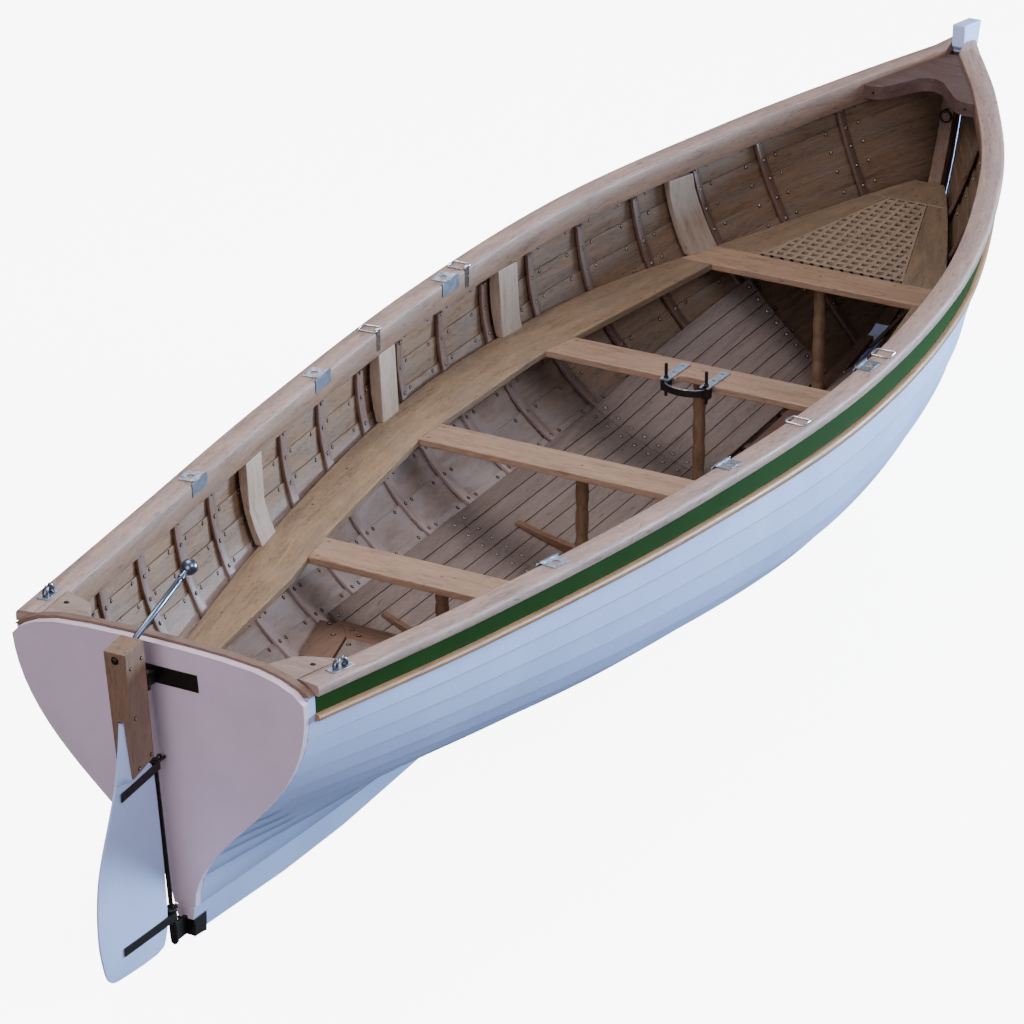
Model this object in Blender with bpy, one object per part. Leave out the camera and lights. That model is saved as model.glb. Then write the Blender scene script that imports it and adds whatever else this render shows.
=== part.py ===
"""Open clinker-built tender: a lapped wooden hull with thwarts, a bow grating, rowlock plates,
a mast gate and a hung rudder with its tiller.

Metres. +X points to the bow, +Y to port, +Z up. The origin is amidships, on the centreplane,
at the waterline. Offsets are written as a boatbuilder reads them: "along" from the top of the
transom, "out" from the centreplane, and "high" above the underside of the keel.
"""

import math

import bmesh
import bpy
import numpy as np
from mathutils import Vector

# Driving sizes of the whole boat
MIDSHIPS = 2.42
WATERLINE = 0.19
SEAT_GAP = 0.0003
SIDES = (("port", 1), ("starboard", -1))

# Hull offsets: one row for each station, with the keel, garboard, bilge and sheer points of its
# section as (along, out, high)
OFFSETS = np.array([
    [(0.131, 0.032, 0.100), (0.099, 0.040, 0.330), (0.079, 0.442, 0.470), (0.028, 0.433, 0.827)],
    [(0.750, 0.032, 0.075), (0.750, 0.130, 0.260), (0.750, 0.560, 0.340), (0.750, 0.553, 0.797)],
    [(1.600, 0.032, 0.070), (1.600, 0.280, 0.170), (1.600, 0.700, 0.270), (1.600, 0.670, 0.786)],
    [(2.500, 0.032, 0.080), (2.500, 0.340, 0.150), (2.500, 0.800, 0.240), (2.500, 0.732, 0.797)],
    [(3.300, 0.032, 0.120), (3.300, 0.250, 0.200), (3.300, 0.700, 0.320), (3.300, 0.671, 0.841)],
    [(3.870, 0.032, 0.185), (3.910, 0.120, 0.280), (3.950, 0.380, 0.450), (4.000, 0.468, 0.897)],
    [(4.150, 0.032, 0.235), (4.280, 0.060, 0.290), (4.400, 0.170, 0.550), (4.450, 0.240, 0.965)],
    [(4.280, 0.032, 0.270), (4.500, 0.032, 0.350), (4.660, 0.032, 0.600), (4.740, 0.032, 1.030)],
])
LAST_STATION = len(OFFSETS) - 1
ROWS_BETWEEN_STATIONS = 4
PLACES = [k / ROWS_BETWEEN_STATIONS for k in range(LAST_STATION * ROWS_BETWEEN_STATIONS + 1)]
NOMINAL_GIRTH = 1.1

# Planking
STRAKES = 10
STRAKE_GROWTH = 0.60
SHEER_STRAKE_SHARE = 0.085
SHEER_STRAKE_GAP = 0.0008
PLANK = 0.009
LAP_STEP = 0.008
LAP_SHARE = 0.018 / NOMINAL_GIRTH
PLANK_INSIDE = PLANK + LAP_STEP
MOULDING_HALF = 0.013
MOULDING_PROUD = 0.016

# Backbone: heights of the keel's underside, then the places where its top is set out
BACKBONE_HALF = 0.022
KEEL_TOP_RISE = 0.018
KEEL_BOTTOM = ((0.108, 0.0997), (0.117, 0.040), (0.145, 0.020), (0.55, 0.0), (0.85, 0.0),
               (1.25, 0.024), (2.60, 0.024), (3.30, 0.046), (3.90, 0.118))
UNDER_TRANSOM = ((0.1315, 0.117), (0.1315, 0.0997))
KEEL_TOP_PLACES = (0.28, 0.45, 0.75, 1.15, 1.60, 2.05, 2.50, 2.90, 3.30, 3.60, 3.90, 4.15)
SCARF = 3.90
STEM_FORWARD = 0.062
STEM_AFT = 0.030
APRON_AFT = 0.062
STEM_HEAD = ((4.828, 1.108), (4.700, 1.122), (4.698, 1.050))

# Bent frames, and half the keelson's width along the boat
RIB_PLACES = (0.478, 0.719, 0.956, 1.178, 1.412, 1.645, 1.889, 2.140, 2.387, 2.628, 2.868, 3.108,
              3.348, 3.585, 3.830, 4.074)
RIB_WIDTH = 0.024
RIB_THICK = 0.0112
RIB_OUTSIDE = PLANK_INSIDE + 0.0013
RIB_INSIDE = RIB_OUTSIDE + RIB_THICK
RIB_HEAD_GAP = 0.002
KEELSON_ENDS = (0.45, 4.10)
KEELSON_HALF = ((0.45, 0.016), (0.75, 0.018), (1.25, 0.026), (1.60, 0.034), (3.30, 0.034), (3.90, 0.022),
                (4.15, 0.016))
KEELSON_THICK = 0.018
KEELSON_BITE = 0.005

# Transom: its raked aft face, and half of its top outline as (out, high)
TRANSOM_RAKE = 0.143
TRANSOM_FOOT = 0.850
TRANSOM_THICK = 0.0235
TRANSOM_TOP = ((0.0, 0.893), (0.10, 0.892), (0.20, 0.889), (0.30, 0.880), (0.36, 0.864), (0.405, 0.842))
FRAME_TOP = ((0.0, 0.901), (0.10, 0.900), (0.20, 0.897), (0.30, 0.888), (0.365, 0.872), (0.412, 0.850),
             (0.440, 0.830), (0.413, 0.829))
FRAME_THICK = 0.024
FRAME_CLEAR = 0.002

# Rails, with the knees that join them
RAIL_PROUD = 0.014
RAIL_WIDTH = 0.072
RAIL_INNER = RAIL_PROUD - RAIL_WIDTH
RAIL_THICK = 0.030
RAIL_SEAT = 0.0006
RAIL_STATIONS = np.linspace(0.0525, 4.69, 25)
INWALE_DEPTH = 0.080
INWALE_CLEAR = 0.0012
INWALE_SET_BACK = 0.0005
INWALE_ENDS = (0.064, 4.50)
# The free edge of the quarter knees, as (along, out)
QUARTER_KNEE = ((0.056, 0.225), (0.063, 0.234), (0.090, 0.263), (0.135, 0.287), (0.180, 0.308),
                (0.205, 0.355), (0.222, 0.400))
KNEE_THICK = 0.030
# The breasthook's aft edge: share of the way out to the rail, and where it lies along the boat
BREASTHOOK_AFT = ((1.0, 4.414), (0.70, 4.420), (0.52, 4.462), (0.30, 4.505), (0.0, 4.520))
BREASTHOOK_FORWARD = 4.650
BREASTHOOK_THICK = 0.050

# Seats: their top follows the points (along, high); the benches' inner edge (along, out)
SEAT_LINE = ((0.0, 0.455), (1.42, 0.501), (2.215, 0.532), (2.925, 0.555), (3.735, 0.590), (4.70, 0.660))
SEAT_THICK = 0.022
BENCH_INNER = ((0.108, 0.215), (0.74, 0.306), (1.22, 0.361), (1.51, 0.421), (2.16, 0.506),
               (2.30, 0.504), (2.86, 0.490), (3.02, 0.459), (3.676, 0.345))
BENCH_PLACES = (0.108, 0.40, 0.74, 1.22, 1.51, 1.85, 2.16, 2.30, 2.58, 2.86, 3.02, 3.35, 3.6757)
# Aft and forward edge of each thwart, the bow thwart last
THWARTS = ((1.350, 1.487), (2.150, 2.279), (2.868, 3.006), (3.676, 3.7997))
KNEE_PLACES = (1.398, 2.247, 2.942, 3.749)
KNEE_WIDTH = 0.098
KNEE_LEAST = 0.012
BOW_SEAT_ENDS = (3.80, 4.52)
# The grating's aft and forward edges, as (along, half its width)
HATCH = ((3.814, 0.245), (4.360, 0.068))
HATCH_GAP = 0.0006
HATCH_SIDE_GAP = 1.3 * HATCH_GAP
HATCH_CUT = 0.06
PILLAR_RADIUS = 0.0195
# A pillar's shape: share of its height, share of its full radius
PILLAR_SHAPE = ((0.0, 1.0), (0.05, 1.0), (0.07, 0.84), (0.18, 1.0), (0.28, 0.84), (0.39, 1.0),
                (0.50, 0.84), (0.61, 1.0), (0.72, 0.84), (0.82, 1.0), (0.93, 0.84), (0.95, 1.0),
                (1.0, 1.0))

# Floor, its outer edge as share of the girth
FLOOR_THICK = 0.011
FLOOR_ENDS = (1.45, 3.85)
FLOOR_ROWS = 25
FLOOR_DEPTH = RIB_INSIDE + 0.0008
FLOOR_INNER_CLEAR = 0.001
FLOOR_LEAST_SHARE, SHARE_STEP = 0.05, 0.005
FLOOR_OUTER = ((1.44, 0.41), (3.10, 0.415), (3.86, 0.48))
# Where each stretcher lies, and how far it stands off the boards to clear their bend
STRETCHERS = ((1.625, 0.0011, 0.31), (2.41, 0.0004, 0.283))
STRETCHER_PARTS, STRETCHER_INNER = (1, 0.65, 0.31, 0), 0.08
STRETCHER_HALF = 0.014
STRETCHER_TOP = 0.75
STRETCHER_THICK = (0.007, 0.028)
BEARER_PLACE = 1.4185
BEARER_HALF = 0.015
BEARER_TOP = 0.285
BEARER_DEEP = 0.024

# Fittings on the rails
ROWLOCK_PLACES = (1.037, 1.835, 2.626)
PLATE_THICK = 0.003
BITE = 0.0005
TAB_REACH, TAB_HALF = 0.048, 0.034
FLANGE_DOWN, FLANGE_HALF = 0.040, 0.048
LOOP_PLACES = (2.189, 2.719)
LOOP_HALF, LOOP_REACH, LOOP_WIRE = 0.022, 0.060, 0.0055
LOOP_STRAP_HALF, LOOP_STRAP_THICK, LOOP_STRAP_DOWN, LOOP_STRAP_UP = 0.009, 0.003, 0.060, 0.006
LOOP_BACK, LOOP_BAR_SEAT, LOOP_BAR_SHY = 0.0025, 0.001, 0.0007
FAIRLEAD_PLACE = 0.173
FAIRLEAD_HALF = 0.040
FAIRLEAD_PLATE = (0.020, 0.052, 0.003)
HORN_APART, HORN_HALF = 0.019, 0.006
HORN_BOX = ((0.028, 0.002), (0.044, 0.026))

# Mast gate on the third thwart
MAST_NOTCH = 0.045
NOTCH_CUT = 0.05
GATE_HALF = 0.067
GATE_AFT = 0.0185
GATE_BULGE = 0.62
GATE_BAR = (0.004, -0.0255, -0.0045)
GATE_EYE_RADIUS, GATE_EYE_ENDS = 0.013, (-0.030, -0.0006)
COLLAR_RADIUS, COLLAR_ENDS = 0.0075, (0.0047, 0.0095)
STRAP_AFT, STRAP_FORE, STRAP_HALF, STRAP_UP = 0.033, 0.109, 0.016, 0.004
GATE_CUT = 0.08
PIN_SLOT_SLACK = 0.0025
PIN_RADIUS = 0.005
PIN_CLEAR = 0.0006
PIN_ENDS = (-0.053, 0.050)

# Rudder: its axis leans aft as it rises
AXIS_FOOT = (0.057, 0.015)
AXIS_RAKE = -0.1229
ROD_RADIUS = 0.006
ROD_CLEAR = 0.0004
ROD_ENDS = (0.012, 0.592)
EYE_RADIUS = 0.0135
LUG_BEHIND = 0.011
BRACKET_HIGH = (0.777, 0.827)
BRACKET_HALF, BRACKET_THICK = 0.125, 0.004
BOSS_RADIUS = 0.011
ARM_INSET, ARM_START, ARM_HALF = 0.008, 0.002, 0.008
HEEL_HIGH, HEEL_HALF = (0.020, 0.075), 0.011
CLIP_HIGH, CLIP_HALF = (0.576, 0.588), 0.0075
STRAP_DEEP = 0.024
STRAP_THICK = 0.003
STRAP_BITE, EYE_PROUD = 0.004, 0.001
# Height of each strap's eye, and its tail's end as (along, high)
UPPER_STRAP, LOWER_STRAP = (0.556, (-0.180, 0.538)), (0.101, (-0.189, 0.106))
BORE_CUT = 0.06
# Foot and head of the stock: its aft and forward corners as (along, high), and its half thickness
STOCK_FOOT = ((-0.140, 0.575), (-0.045, 0.600), 0.0225)
STOCK_HEAD = ((-0.173, 0.932), (-0.094, 0.944), 0.0325)
SLOT_TOP, SLOT_FOOT, SLOT_ENDS = 0.7343, 0.40, (-0.40, 0.20)
TUNNEL = 0.12
RUDDER_ORIGIN_HIGH = 0.3
# The blade's outline, up its forward edge, across inside the stock and down its aft edge
BLADE_FORE = ((0.000, 0.030), (0.012, 0.052), (0.018, 0.095), (0.016, 0.160), (0.010, 0.245),
              (-0.004, 0.380), (-0.018, 0.500), (-0.027, 0.556))
BLADE_HEAD = ((-0.055, 0.590), (-0.085, 0.731), (-0.1535, 0.731))
BLADE_AFT = ((-0.172, 0.651), (-0.196, 0.551), (-0.225, 0.480), (-0.254, 0.412), (-0.277, 0.340),
             (-0.287, 0.255), (-0.284, 0.165), (-0.268, 0.092), (-0.2535, 0.055), (-0.235, 0.037),
             (-0.200, 0.0285), (-0.110, 0.0235), (-0.030, 0.0235))
BLADE_HALF = 0.010
TILLER_FOOT, TILLER_BALL = (-0.150, 0.912), (0.171, 1.028)
TILLER_RADIUS = 0.007
BALL_RADIUS = 0.0195
NECK_RADIUS = 0.0052
# Where the rod ends and its neck begins and ends, back from the ball's middle
NECK_STEPS = (0.040, 0.034, 0.022)

MATERIALS = {
    "white_paint": ((0.62, 0.66, 0.78), 0.45, 0.0),
    "green_paint": ((0.022, 0.075, 0.012), 0.40, 0.0),
    "rail_wood": ((0.50, 0.37, 0.30), 0.55, 0.0),
    "strake_wood": ((0.50, 0.29, 0.13), 0.45, 0.0),
    "rib_wood": ((0.30, 0.16, 0.11), 0.50, 0.0),
    "bench_wood": ((0.42, 0.29, 0.20), 0.50, 0.0),
    "thwart_wood": ((0.50, 0.32, 0.19), 0.45, 0.0),
    "floor_wood": ((0.33, 0.26, 0.20), 0.60, 0.0),
    "dark_wood": ((0.16, 0.08, 0.05), 0.50, 0.0),
    "rudder_wood": ((0.24, 0.13, 0.07), 0.50, 0.0),
    "steel": ((0.55, 0.60, 0.68), 0.25, 1.0),
    "black_iron": ((0.02, 0.02, 0.022), 0.40, 0.8),
}


def clear_scene():
    for obj in list(bpy.data.objects):
        bpy.data.objects.remove(obj, do_unlink=True)


def finish_of(name):
    found = bpy.data.materials.get(name)
    if found:
        return found
    colour, roughness, metallic = MATERIALS[name]
    material = bpy.data.materials.new(name)
    material.use_nodes = True
    shader = material.node_tree.nodes["Principled BSDF"]
    shader.inputs["Base Color"].default_value = (*colour, 1.0)
    shader.inputs["Roughness"].default_value = roughness
    shader.inputs["Metallic"].default_value = metallic
    return material


def at(along, out, high):
    """World point of a place given as the offsets are."""
    return Vector((along - MIDSHIPS, out, high - WATERLINE))


def add_piece(name, points, faces, finish, origin=None, smooth=False):
    """A mesh object from offsets, its own origin at a place of the boat."""
    centre = at(*origin) if origin else Vector((0, 0, 0))
    mesh = bpy.data.meshes.new(name)
    mesh.from_pydata([at(*point) - centre for point in points], [], faces)
    work = bmesh.new()
    work.from_mesh(mesh)
    bmesh.ops.recalc_face_normals(work, faces=work.faces)
    work.to_mesh(mesh)
    work.free()
    mesh.polygons.foreach_set("use_smooth", [smooth] * len(mesh.polygons))
    mesh.materials.append(finish_of(finish))
    obj = bpy.data.objects.new(name, mesh)
    obj.location = centre
    bpy.context.scene.collection.objects.link(obj)
    return obj


def combine(obj, others, operation="UNION"):
    """Joins the others to the object, or cuts them from it, and removes them."""
    for number, other in enumerate(others):
        modifier = obj.modifiers.new(f"{operation.lower()}_{number}", "BOOLEAN")
        modifier.operation = operation
        modifier.solver = "EXACT"
        modifier.object = other
    graph = bpy.context.evaluated_depsgraph_get()
    graph.update()
    made = bpy.data.meshes.new_from_object(obj.evaluated_get(graph))
    obj.modifiers.clear()
    obj.data = made
    for other in others:
        bpy.data.objects.remove(other, do_unlink=True)
    return obj


def loft(name, rings, finish, **more):
    """A closed skin through rings of equally many points, with both ends filled."""
    count = len(rings[0])
    points = [point for ring in rings for point in ring]
    faces = [list(range(count))]
    for row in range(len(rings) - 1):
        for k in range(count):
            a, b = row * count + k, row * count + (k + 1) % count
            faces.append([a, b, b + count, a + count])
    faces.append([(len(rings) - 1) * count + k for k in range(count)])
    return add_piece(name, points, faces, finish, **more)


def sheet(name, upper, lower, finish, **more):
    """A plate between two grids of the same rows and columns."""
    rows, columns = len(upper), len(upper[0])
    points = [p for grid in (upper, lower) for row in grid for p in row]
    lower_start = rows * columns

    def at_grid(side, row, column):
        return side * lower_start + row * columns + column

    faces = []
    for row in range(rows - 1):
        for column in range(columns - 1):
            for side in (0, 1):
                faces.append([at_grid(side, row, column), at_grid(side, row, column + 1),
                              at_grid(side, row + 1, column + 1), at_grid(side, row + 1, column)])
    for row in range(rows - 1):
        for column in (0, columns - 1):
            faces.append([at_grid(0, row, column), at_grid(0, row + 1, column),
                          at_grid(1, row + 1, column), at_grid(1, row, column)])
    for column in range(columns - 1):
        for row in (0, rows - 1):
            faces.append([at_grid(0, row, column), at_grid(0, row, column + 1),
                          at_grid(1, row, column + 1), at_grid(1, row, column)])
    return add_piece(name, points, faces, finish, **more)


def block(name, low, high, finish, **more):
    """A square-edged block between two corners, given as offsets."""
    rings = [[(along, low[1], low[2]), (along, high[1], low[2]), (along, high[1], high[2]),
              (along, low[1], high[2])] for along in (low[0], high[0])]
    return loft(name, rings, finish, **more)


def upright_plate(name, outline, half, finish, **more):
    """A plate in the centreplane from an outline of (along, high), half thick each way."""
    rings = [[(along, out, high) for along, high in outline] for out in (-half, half)]
    return loft(name, rings, finish, **more)


def turned(name, centre_line, radii, finish, sides=12, **more):
    """A turned piece: a ring of the given radius square to the line at each of its points."""
    rings = []
    for number, (point, radius) in enumerate(zip(centre_line, radii)):
        before = Vector(centre_line[max(0, number - 1)])
        after = Vector(centre_line[min(len(centre_line) - 1, number + 1)])
        run = (after - before).normalized()
        across = run.cross(Vector((0, 1, 0)) if abs(run.y) < 0.9 else Vector((1, 0, 0))).normalized()
        other = run.cross(across)
        ring = []
        for k in range(sides):
            turn = 2 * math.pi * k / sides
            ring.append(Vector(point) + radius * (math.cos(turn) * across + math.sin(turn) * other))
        rings.append(ring)
    return loft(name, rings, finish, smooth=True, **more)


def between(table, along):
    """The value of a table of (along, value) at a place, in straight steps."""
    return float(np.interp(along, [row[0] for row in table], [row[1] for row in table]))


# The hull surface

def station(place):
    """The four points of a section at a place between the rows, on a smooth curve through them."""
    low = min(int(place), LAST_STATION - 1)
    step = place - low
    here, ahead = OFFSETS[low], OFFSETS[low + 1]
    behind = OFFSETS[low - 1] if low > 0 else 2 * here - ahead
    beyond = OFFSETS[low + 2] if low + 2 <= LAST_STATION else 2 * ahead - here
    return 0.5 * (2 * here + (ahead - behind) * step
                  + (2 * behind - 5 * here + 4 * ahead - beyond) * step ** 2
                  + (3 * here - behind - 3 * ahead + beyond) * step ** 3)


def section_point(place, turn):
    keel, garboard, bilge, sheer = station(place)
    rest = 1 - turn
    return (keel * rest ** 3 + 3 * garboard * rest ** 2 * turn
            + 3 * bilge * rest * turn ** 2 + sheer * turn ** 3)


SHARE_STEPS = np.linspace(0, 1, 81)


def even_section(place):
    """A section's points at even shares of its girth from keel to sheer."""
    turns = np.linspace(0, 1, 81)
    points = np.array([section_point(place, turn) for turn in turns])
    lengths = np.concatenate([[0], np.cumsum(np.linalg.norm(np.diff(points, axis=0), axis=1))])
    return np.stack([np.interp(SHARE_STEPS * lengths[-1], lengths, column)
                     for column in points.T], axis=-1)


SURFACE = np.array([even_section(place) for place in PLACES])
INWARD = np.cross(np.gradient(SURFACE, axis=0), np.gradient(SURFACE, axis=1))
INWARD /= np.linalg.norm(INWARD, axis=-1, keepdims=True)
INWARD *= -np.sign(INWARD[..., 1:2])


def skin(place, share, depth=0.0, side=1):
    """A point of the hull's outer surface, sunk inboard by a depth."""
    row = min(max(place, 0), LAST_STATION) * ROWS_BETWEEN_STATIONS
    column = min(max(share, 0), 1) * (len(SHARE_STEPS) - 1)
    i = min(int(row), len(PLACES) - 2)
    j = min(int(column), len(SHARE_STEPS) - 2)
    u, v = row - i, column - j
    sunk = SURFACE[i:i + 2, j:j + 2] + INWARD[i:i + 2, j:j + 2] * depth
    aft = sunk[0, 0] * (1 - v) + sunk[0, 1] * v
    fore = sunk[1, 0] * (1 - v) + sunk[1, 1] * v
    along, out, high = aft * (1 - u) + fore * u
    slot = BACKBONE_HALF + SEAT_GAP - max(0.0, depth - PLANK_INSIDE)
    return along, side * max(out, slot, 0.001), high


def place_at(along, share, depth=0.0):
    """The place between the stations where the skin lies at a distance along the boat."""
    low, high = 0.0, float(LAST_STATION)
    for _ in range(24):
        middle = (low + high) / 2
        if skin(middle, share, depth)[0] < along:
            low = middle
        else:
            high = middle
    return (low + high) / 2


def skin_at(along, share, depth=0.0, side=1):
    return skin(place_at(along, share, depth), share, depth, side)


def strake_edges():
    """Shares of the girth where the planks' lower edges lie, narrower towards the sheer."""
    widths = [1 + STRAKE_GROWTH * (STRAKES - 1 - k) / (STRAKES - 1) for k in range(STRAKES)]
    scale = (1 - SHEER_STRAKE_SHARE) / sum(widths)
    edges = [0.0]
    for width in widths:
        edges.append(edges[-1] + width * scale)
    return edges


def end_fade(place):
    """The laps close up flush at the transom and at the stem."""
    return min(1.0, place / 0.75, (LAST_STATION - place) / 0.75)


def rabbet_height(along):
    return skin_at(along, 0.0)[2]


KEEL_TOP = tuple((along, rabbet_height(along) + KEEL_TOP_RISE) for along in KEEL_TOP_PLACES)
RIB_SHARES = (0.0,) + tuple(edge + LAP_SHARE for edge in strake_edges()[1:-1]) + (1.0,)


def keel_top(along):
    return between(KEEL_TOP, along)


def keelson_top(along):
    return keel_top(along) + RIB_THICK - KEELSON_BITE + KEELSON_THICK


def frame_vertex(along, share, depth):
    """A point at a depth inside the planking; on the centreline it stands on the keel."""
    place, out, high = skin_at(along, share, depth)
    if share == 0.0:
        high = max(high, keel_top(along) + depth - RIB_OUTSIDE)
    return np.array((place, out, high))


def framed(along, share, depth):
    """A point at a depth inside the planking, on straight lines between the plank laps."""
    upper = next(k for k, edge in enumerate(RIB_SHARES) if k > 0 and edge >= share)
    low, top = RIB_SHARES[upper - 1], RIB_SHARES[upper]
    part = (share - low) / (top - low)
    return frame_vertex(along, low, depth) * (1 - part) + frame_vertex(along, top, depth) * part


def half_breadth(along, high, depth):
    """How far out the inside of the planking lies at a distance along and a height."""
    low, top = 0.02, 1.0
    for _ in range(16):
        middle = (low + top) / 2
        if framed(along, middle, depth)[2] < high:
            low = middle
        else:
            top = middle
    return framed(along, low, depth)[1]


# Planking

def build_planking():
    """Lapped strakes of each side as one skin, every lower edge standing proud of the next."""
    edges = strake_edges()
    for word, side in SIDES:
        outside, inside = [], []
        for place in PLACES:
            step = LAP_STEP * end_fade(place)
            outer_row, inner_row = [], []
            for k in range(STRAKES):
                outer_row.append(skin(place, edges[k], 0.0, side))
                outer_row.append(skin(place, edges[k + 1], step, side))
                inner_low = edges[k] + LAP_SHARE if k else 0.0
                inner_high = edges[k + 1] + LAP_SHARE if k < STRAKES - 1 else edges[k + 1]
                inner_row.append(skin(place, inner_low, PLANK, side))
                inner_row.append(skin(place, inner_high, PLANK + step, side))
            outside.append(outer_row)
            inside.append(inner_row)
        sheet(f"planking_{word}", outside, inside, "white_paint")


SHEER_STRAKE_LOW = strake_edges()[-1] + SHEER_STRAKE_GAP
MOULDING_PART = 2 * MOULDING_HALF / NOMINAL_GIRTH / (1 - SHEER_STRAKE_LOW)


def on_sheer_strake(place, part, depth, side):
    """A point on the flat of the sheer strake, a part of the way from its lower to its upper edge."""
    foot = np.array(skin(place, SHEER_STRAKE_LOW, depth, side))
    head = np.array(skin(place, 1.0, depth, side))
    return foot * (1 - part) + head * part


def build_sheer_strakes():
    """Green top strakes, their upper edge level under the rail."""
    for word, side in SIDES:
        outside, inside = [], []
        for place in PLACES:
            outer = [on_sheer_strake(place, part, 0.0, side) for part in (0, MOULDING_PART, 1)]
            inner = [on_sheer_strake(place, part, PLANK_INSIDE, side) for part in (0, MOULDING_PART, 1)]
            inner[-1][2] = min(inner[-1][2], outer[-1][2])
            outside.append(outer)
            inside.append(inner)
        sheet(f"sheer_strake_{word}", outside, inside, "green_paint")


def build_rubbing_strakes():
    """A half-round moulding along the lower edge of each sheer strake."""
    # Along the strake's own face, then outwards from it
    profile = ((-1.0, 0.02), (-0.75, 0.65), (0.0, 1.0), (0.75, 0.65), (1.0, 0.02))
    for word, side in SIDES:
        rings = []
        for place in PLACES:
            ring = []
            for across, rise in profile:
                depth = -2 * SEAT_GAP - rise * MOULDING_PROUD
                ring.append(on_sheer_strake(place, (1 + across) / 2 * MOULDING_PART, depth, side))
            rings.append(ring)
        loft(f"rubbing_strake_{word}", rings, "strake_wood")


# The backbone

def build_keel():
    """Keel, deadwood and sternpost, from the heel to the scarf with the stem."""
    top = [(along, high - SEAT_GAP) for along, high in reversed(KEEL_TOP) if along <= SCARF]
    outline = list(KEEL_BOTTOM) + top + list(UNDER_TRANSOM)
    upright_plate("keel", outline, BACKBONE_HALF, "white_paint")


def stem_curve(offset):
    """Points parallel to the rabbet of the stem, forward of it by an offset."""
    keel, garboard, bilge, sheer = OFFSETS[LAST_STATION][:, (0, 2)]
    points = []
    for turn in np.linspace(0, 1, 9):
        rest = 1 - turn
        point = (keel * rest ** 3 + 3 * garboard * rest ** 2 * turn
                 + 3 * bilge * rest * turn ** 2 + sheer * turn ** 3)
        slope = (3 * (garboard - keel) * rest ** 2 + 6 * (bilge - garboard) * rest * turn
                 + 3 * (sheer - bilge) * turn ** 2)
        slope /= np.linalg.norm(slope)
        points.append((point[0] + slope[1] * offset, point[1] - slope[0] * offset))
    return points


def build_stem():
    """Stem with its head standing above the rails."""
    start = SCARF + SEAT_GAP
    last_place = KEEL_TOP_PLACES[-1]
    front = [(start, KEEL_BOTTOM[-1][1])] + stem_curve(STEM_FORWARD)
    back = list(reversed(stem_curve(-STEM_AFT)))
    foot = [(along, keel_top(along) - SEAT_GAP) for along in (last_place, start)]
    upright_plate("stem", front + list(STEM_HEAD) + back + foot, BACKBONE_HALF, "white_paint")


def build_apron():
    """Inner stem, behind the stem inside the boat."""
    front = stem_curve(-STEM_AFT - SEAT_GAP)[2:-1]
    back = list(reversed(stem_curve(-APRON_AFT)[2:-1]))
    upright_plate("apron", front + back, BACKBONE_HALF, "rib_wood")


def build_frames():
    """Steam-bent ribs crossing the keel, held by the keelson along the centreline."""
    ribs = []
    for along in RIB_PLACES:
        edges = (along - RIB_WIDTH / 2, along + RIB_WIDTH / 2)
        corners = ((edges[0], RIB_OUTSIDE), (edges[1], RIB_OUTSIDE), (edges[1], RIB_INSIDE),
                   (edges[0], RIB_INSIDE))
        top = min(rail_top(edge) for edge in edges) - INWALE_DEPTH - RIB_HEAD_GAP
        half_rings = [[(edge, half_breadth(edge, top, depth), top) for edge, depth in corners]]
        half_rings += [[framed(edge, share, depth) for edge, depth in corners]
                       for share in RIB_SHARES[-2::-1]]
        centre = [(edge, 0.0, keel_top(edge) + depth - RIB_OUTSIDE) for edge, depth in corners]
        other_half = [[(a, -y, h) for a, y, h in ring] for ring in reversed(half_rings)]
        ribs.append(loft("rib", half_rings + [centre] + other_half, "rib_wood"))
    rings = []
    inside = [along for along in KEEL_TOP_PLACES if KEELSON_ENDS[0] < along < KEELSON_ENDS[1]]
    for along in (KEELSON_ENDS[0], *inside, KEELSON_ENDS[1]):
        top, half = keelson_top(along), between(KEELSON_HALF, along)
        base = top - KEELSON_THICK
        rings.append([(along, -half, base), (along, half, base), (along, half, top),
                      (along, -half, top)])
    combine(loft("frames", rings, "rib_wood"), ribs)


# The transom

def transom_face(high):
    """Where the aft face of the raked transom lies at a height."""
    return TRANSOM_RAKE * (TRANSOM_FOOT - high)


def raked_plate(name, half_outline, near, thick, finish):
    """A plate across the boat, parallel to the transom's face, from half of its outline."""
    other_half = [(-out, high) for out, high in reversed(half_outline) if out > 0]
    outline = list(half_outline) + other_half
    rings = [[(transom_face(high) + step, out, high) for out, high in outline]
             for step in (near, near + thick)]
    return loft(name, rings, finish)


def build_transom():
    """White transom with rounded shoulders, and the brown framing inside it that stands above."""
    sides = [skin(0, share)[1:] for share in np.linspace(0.985, 0.0, 20)]
    raked_plate("transom", list(TRANSOM_TOP) + sides, 0.0, TRANSOM_THICK, "white_paint")
    inner = [skin(0, share, PLANK_INSIDE + FRAME_CLEAR)[1:] for share in np.linspace(0.95, 0.14, 14)]
    raked_plate("transom_frame", list(FRAME_TOP) + inner, TRANSOM_THICK + SEAT_GAP, FRAME_THICK,
                "dark_wood")


# Rails, knees and breasthook

def edge_frame(along):
    """The hull's edge, its outward direction in plan, and how far the side flares below it."""
    edge = skin_at(along, 1.0)
    fore, aft = skin_at(along + 0.02, 1.0), skin_at(along - 0.02, 1.0)
    run = math.hypot(fore[0] - aft[0], fore[1] - aft[1])
    lower = skin_at(along, SHEER_STRAKE_LOW)
    flare = max(0.0, (edge[1] - lower[1]) / (edge[2] - lower[2]))
    return (*edge, -(fore[1] - aft[1]) / run, (fore[0] - aft[0]) / run, flare)


RAIL_FRAMES = np.array([edge_frame(along) for along in RAIL_STATIONS])


def rail_frame(along):
    return [float(np.interp(along, RAIL_STATIONS, column)) for column in RAIL_FRAMES.T]


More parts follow.
